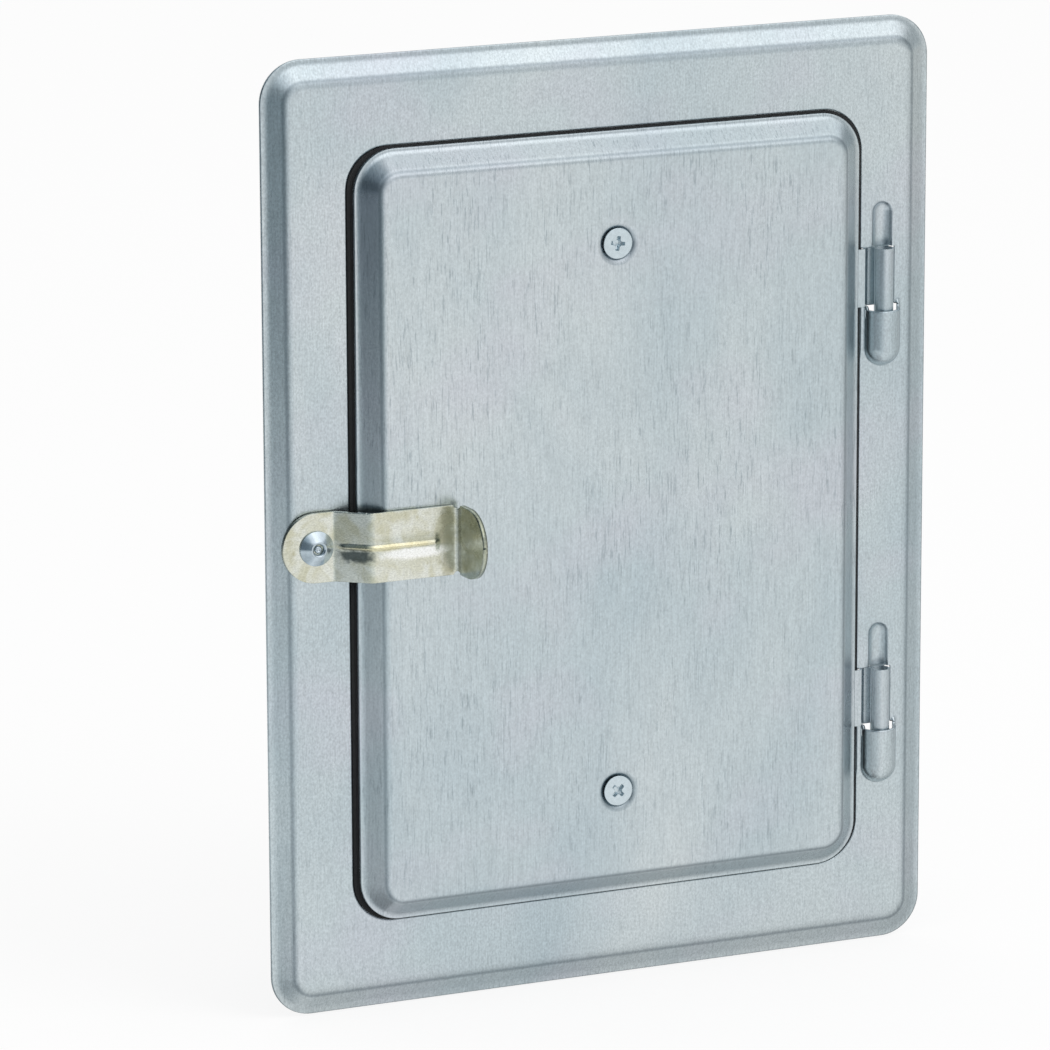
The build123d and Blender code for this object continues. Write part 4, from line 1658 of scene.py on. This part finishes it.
@dataclass(frozen=True)
class ReflectionCard:
    """The floor as glosses see it: pale near the door, darker far off on the left and close to its foot."""

    size: float = 24.0
    drop: float = 0.0002
    side_shades: Shades = (
        (-180.0, rgb(0.80, 0.82, 0.82)),
        (-140.0, rgb(0.45, 0.48, 0.50)),
        (-100.0, rgb(0.10, 0.12, 0.13)),
        (-50.0, rgb(0.115, 0.150, 0.185)),
        (-27.0, rgb(0.20, 0.26, 0.29)),
        (-7.0, rgb(0.75, 0.78, 0.80)),
        (7.0, rgb(1.0, 1.0, 1.0)),
        (22.0, rgb(0.93, 0.95, 0.95)),
        (45.0, rgb(0.80, 0.82, 0.82)),
        (75.0, rgb(0.68, 0.69, 0.68)),
        (135.0, rgb(0.62, 0.64, 0.65)),
        (180.0, rgb(0.80, 0.82, 0.82)),
    )
    near_shade: Colour = rgb(0.88, 0.93, 0.95)
    near_reach: float = 0.34
    far_reach: float = 1.0
    right_from: float = 0.465
    right_to: float = 0.53
    foot_shade: float = 0.45
    foot_reach: float = 0.035
    foot_share: float = 0.40
    share_reach: float = 0.30
    compass_depth: float = 0.25

    def lay(self) -> None:
        """Lay the card.

        Its shade runs from the near shade to a ramp round the compass as the distance from the door grows,
        and on the right it is that ramp at once. It is then dimmed in a narrow strip along the plate, as the
        floor is there by the plate's own shade. Near the plate the card is partly open, and the dome shows
        through it. The compass stands behind the door, because its own middle would show as a seam.
        """
        card = level_sheet("reflection_card", self.size, self.drop)
        shader = Shader("reflection_card")
        place = shader.place()
        away = shader.vector("LENGTH", shader.vector("MULTIPLY", place, (1.0, 1.0, 0.0)))
        far = shader.ranged(away, self.near_reach, self.far_reach, curve="SMOOTHSTEP")
        angle = compass(shader, shader.vector("ADD", place, (0.0, -self.compass_depth, 0.0)))
        right = shader.ranged(angle, self.right_from, self.right_to, curve="SMOOTHSTEP")
        side = shader.ramp(angle, round_stops(self.side_shades))
        blended = shader.mix(shader.math("MAXIMUM", far, right), self.near_shade, side)
        out = shader.math("ABSOLUTE", shader.along(place, 1))
        shade = shader.scaled(blended, shader.ranged(out, 0.0, self.foot_reach, to_low=self.foot_shade))
        glow = shader.add("Emission", {"Color": shade, "Strength": 1.0})
        share = shader.ranged(out, 0.0, self.share_reach, to_low=self.foot_share)
        clear = shader.add("BsdfTransparent")
        blend = shader.add("MixShader", {0: share, 1: clear.outputs[0], 2: glow.outputs[0]})
        card.data.materials.append(shader.close(blend))
        only_gloss(card)


@dataclass(frozen=True)
class Studio:
    """The pale floor, the white surround, the lamp, the screens that only glosses see, and the camera."""

    floor_size: float = 30.0
    floor_drop: float = 0.0005
    floor_tone: Colour = rgb(0.95, 0.95, 0.95)
    floor_glow: float = 0.84
    white: Colour = rgb(1.0, 1.0, 1.0)
    surround: float = 1.0
    fill: float = 0.85
    key: SoftLamp = SoftLamp("key_lamp", 0.9, 1.2, 35.0, 45.0, 1.6, 7.0)

    @staticmethod
    def seen(shader: Shader) -> bpy.types.NodeSocket:
        """Tell the rays that show a thing from those that only light others by it.

        Args:
            shader: The material or surround under construction.

        Returns:
            1 for rays that the camera, a gloss or a glass sends, and 0 for the rest.
        """
        path = shader.add("LightPath").outputs
        first = shader.math("MAXIMUM", path["Is Camera Ray"], path["Is Glossy Ray"])
        return shader.math("MAXIMUM", first, path["Is Transmission Ray"])

    def add_surround(self) -> None:
        """Light the door from all round, with a white background for camera and gloss."""
        shader = Shader("surround", world=True)
        strength = shader.ranged(self.seen(shader), 0.0, 1.0, self.fill, self.surround)
        glow = shader.add("Background", {"Color": self.white, "Strength": strength})
        bpy.context.scene.world = shader.close(glow)

    def add_floor(self) -> None:
        """Lay the pale floor under the plate's lower edge, glowing white to the camera, less where shaded."""
        floor = level_sheet("floor", self.floor_size, self.floor_drop)
        shader = Shader("floor")
        matte = shader.add("BsdfDiffuse", {"Color": self.floor_tone})
        glow = shader.add("Emission", {"Color": self.white, "Strength": self.seen(shader)})
        blend = shader.add("MixShader", {0: self.floor_glow, 1: matte.outputs[0], 2: glow.outputs[0]})
        floor.data.materials.append(shader.close(blend))
        floor.visible_glossy = False
        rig.stage(floor)

    def build(self) -> None:
        """Set up the whole studio."""
        self.add_surround()
        self.add_floor()
        ViewPoint().set_up()
        ReflectionDome().hang()
        ReflectionCard().lay()
        self.key.hang()
        bpy.context.scene.view_settings.view_transform = "Standard"


@dataclass
class SizeLog:
    """The solids' box and the dressed door's box, kept for comparison."""

    path: str = "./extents.json"
    boxes: dict[str, list[list[float]]] = field(default_factory=dict)

    def note(self, name: str) -> None:
        """Keep the present bounds under a name."""
        self.boxes[name] = [list(corner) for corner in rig.bounds()]

    def write(self) -> None:
        """Write the boxes kept so far."""
        with open(self.path, "w") as handle:
            json.dump(self.boxes, handle)


def main() -> None:
    """Build every piece, dress it, set up the studio and report."""
    logging.basicConfig(level=logging.INFO, format="%(name)s: %(message)s")
    sizes = SizeLog()
    sizes.note("cad")
    finishes = Finishes()
    finishes.dress_nodes()
    pieces = [
        (FramePlate().build(), "galvanised_plate"),
        (DoorLeaf().build(), "galvanised_leaf"),
        (LeafScrews().build(), "zinc_screw"),
        (LatchLever().build(), "yellow_zinc"),
        *((piece, "rivet_steel") for piece in LatchRivet().build()),
    ]
    for piece, slot in pieces:
        finishes.dress(piece, slot)
        LOG.info("%s has %d points", piece.name, len(piece.data.vertices))
    Studio().build()
    sizes.note("visual")
    sizes.write()


if __name__ == "__main__":
    main()
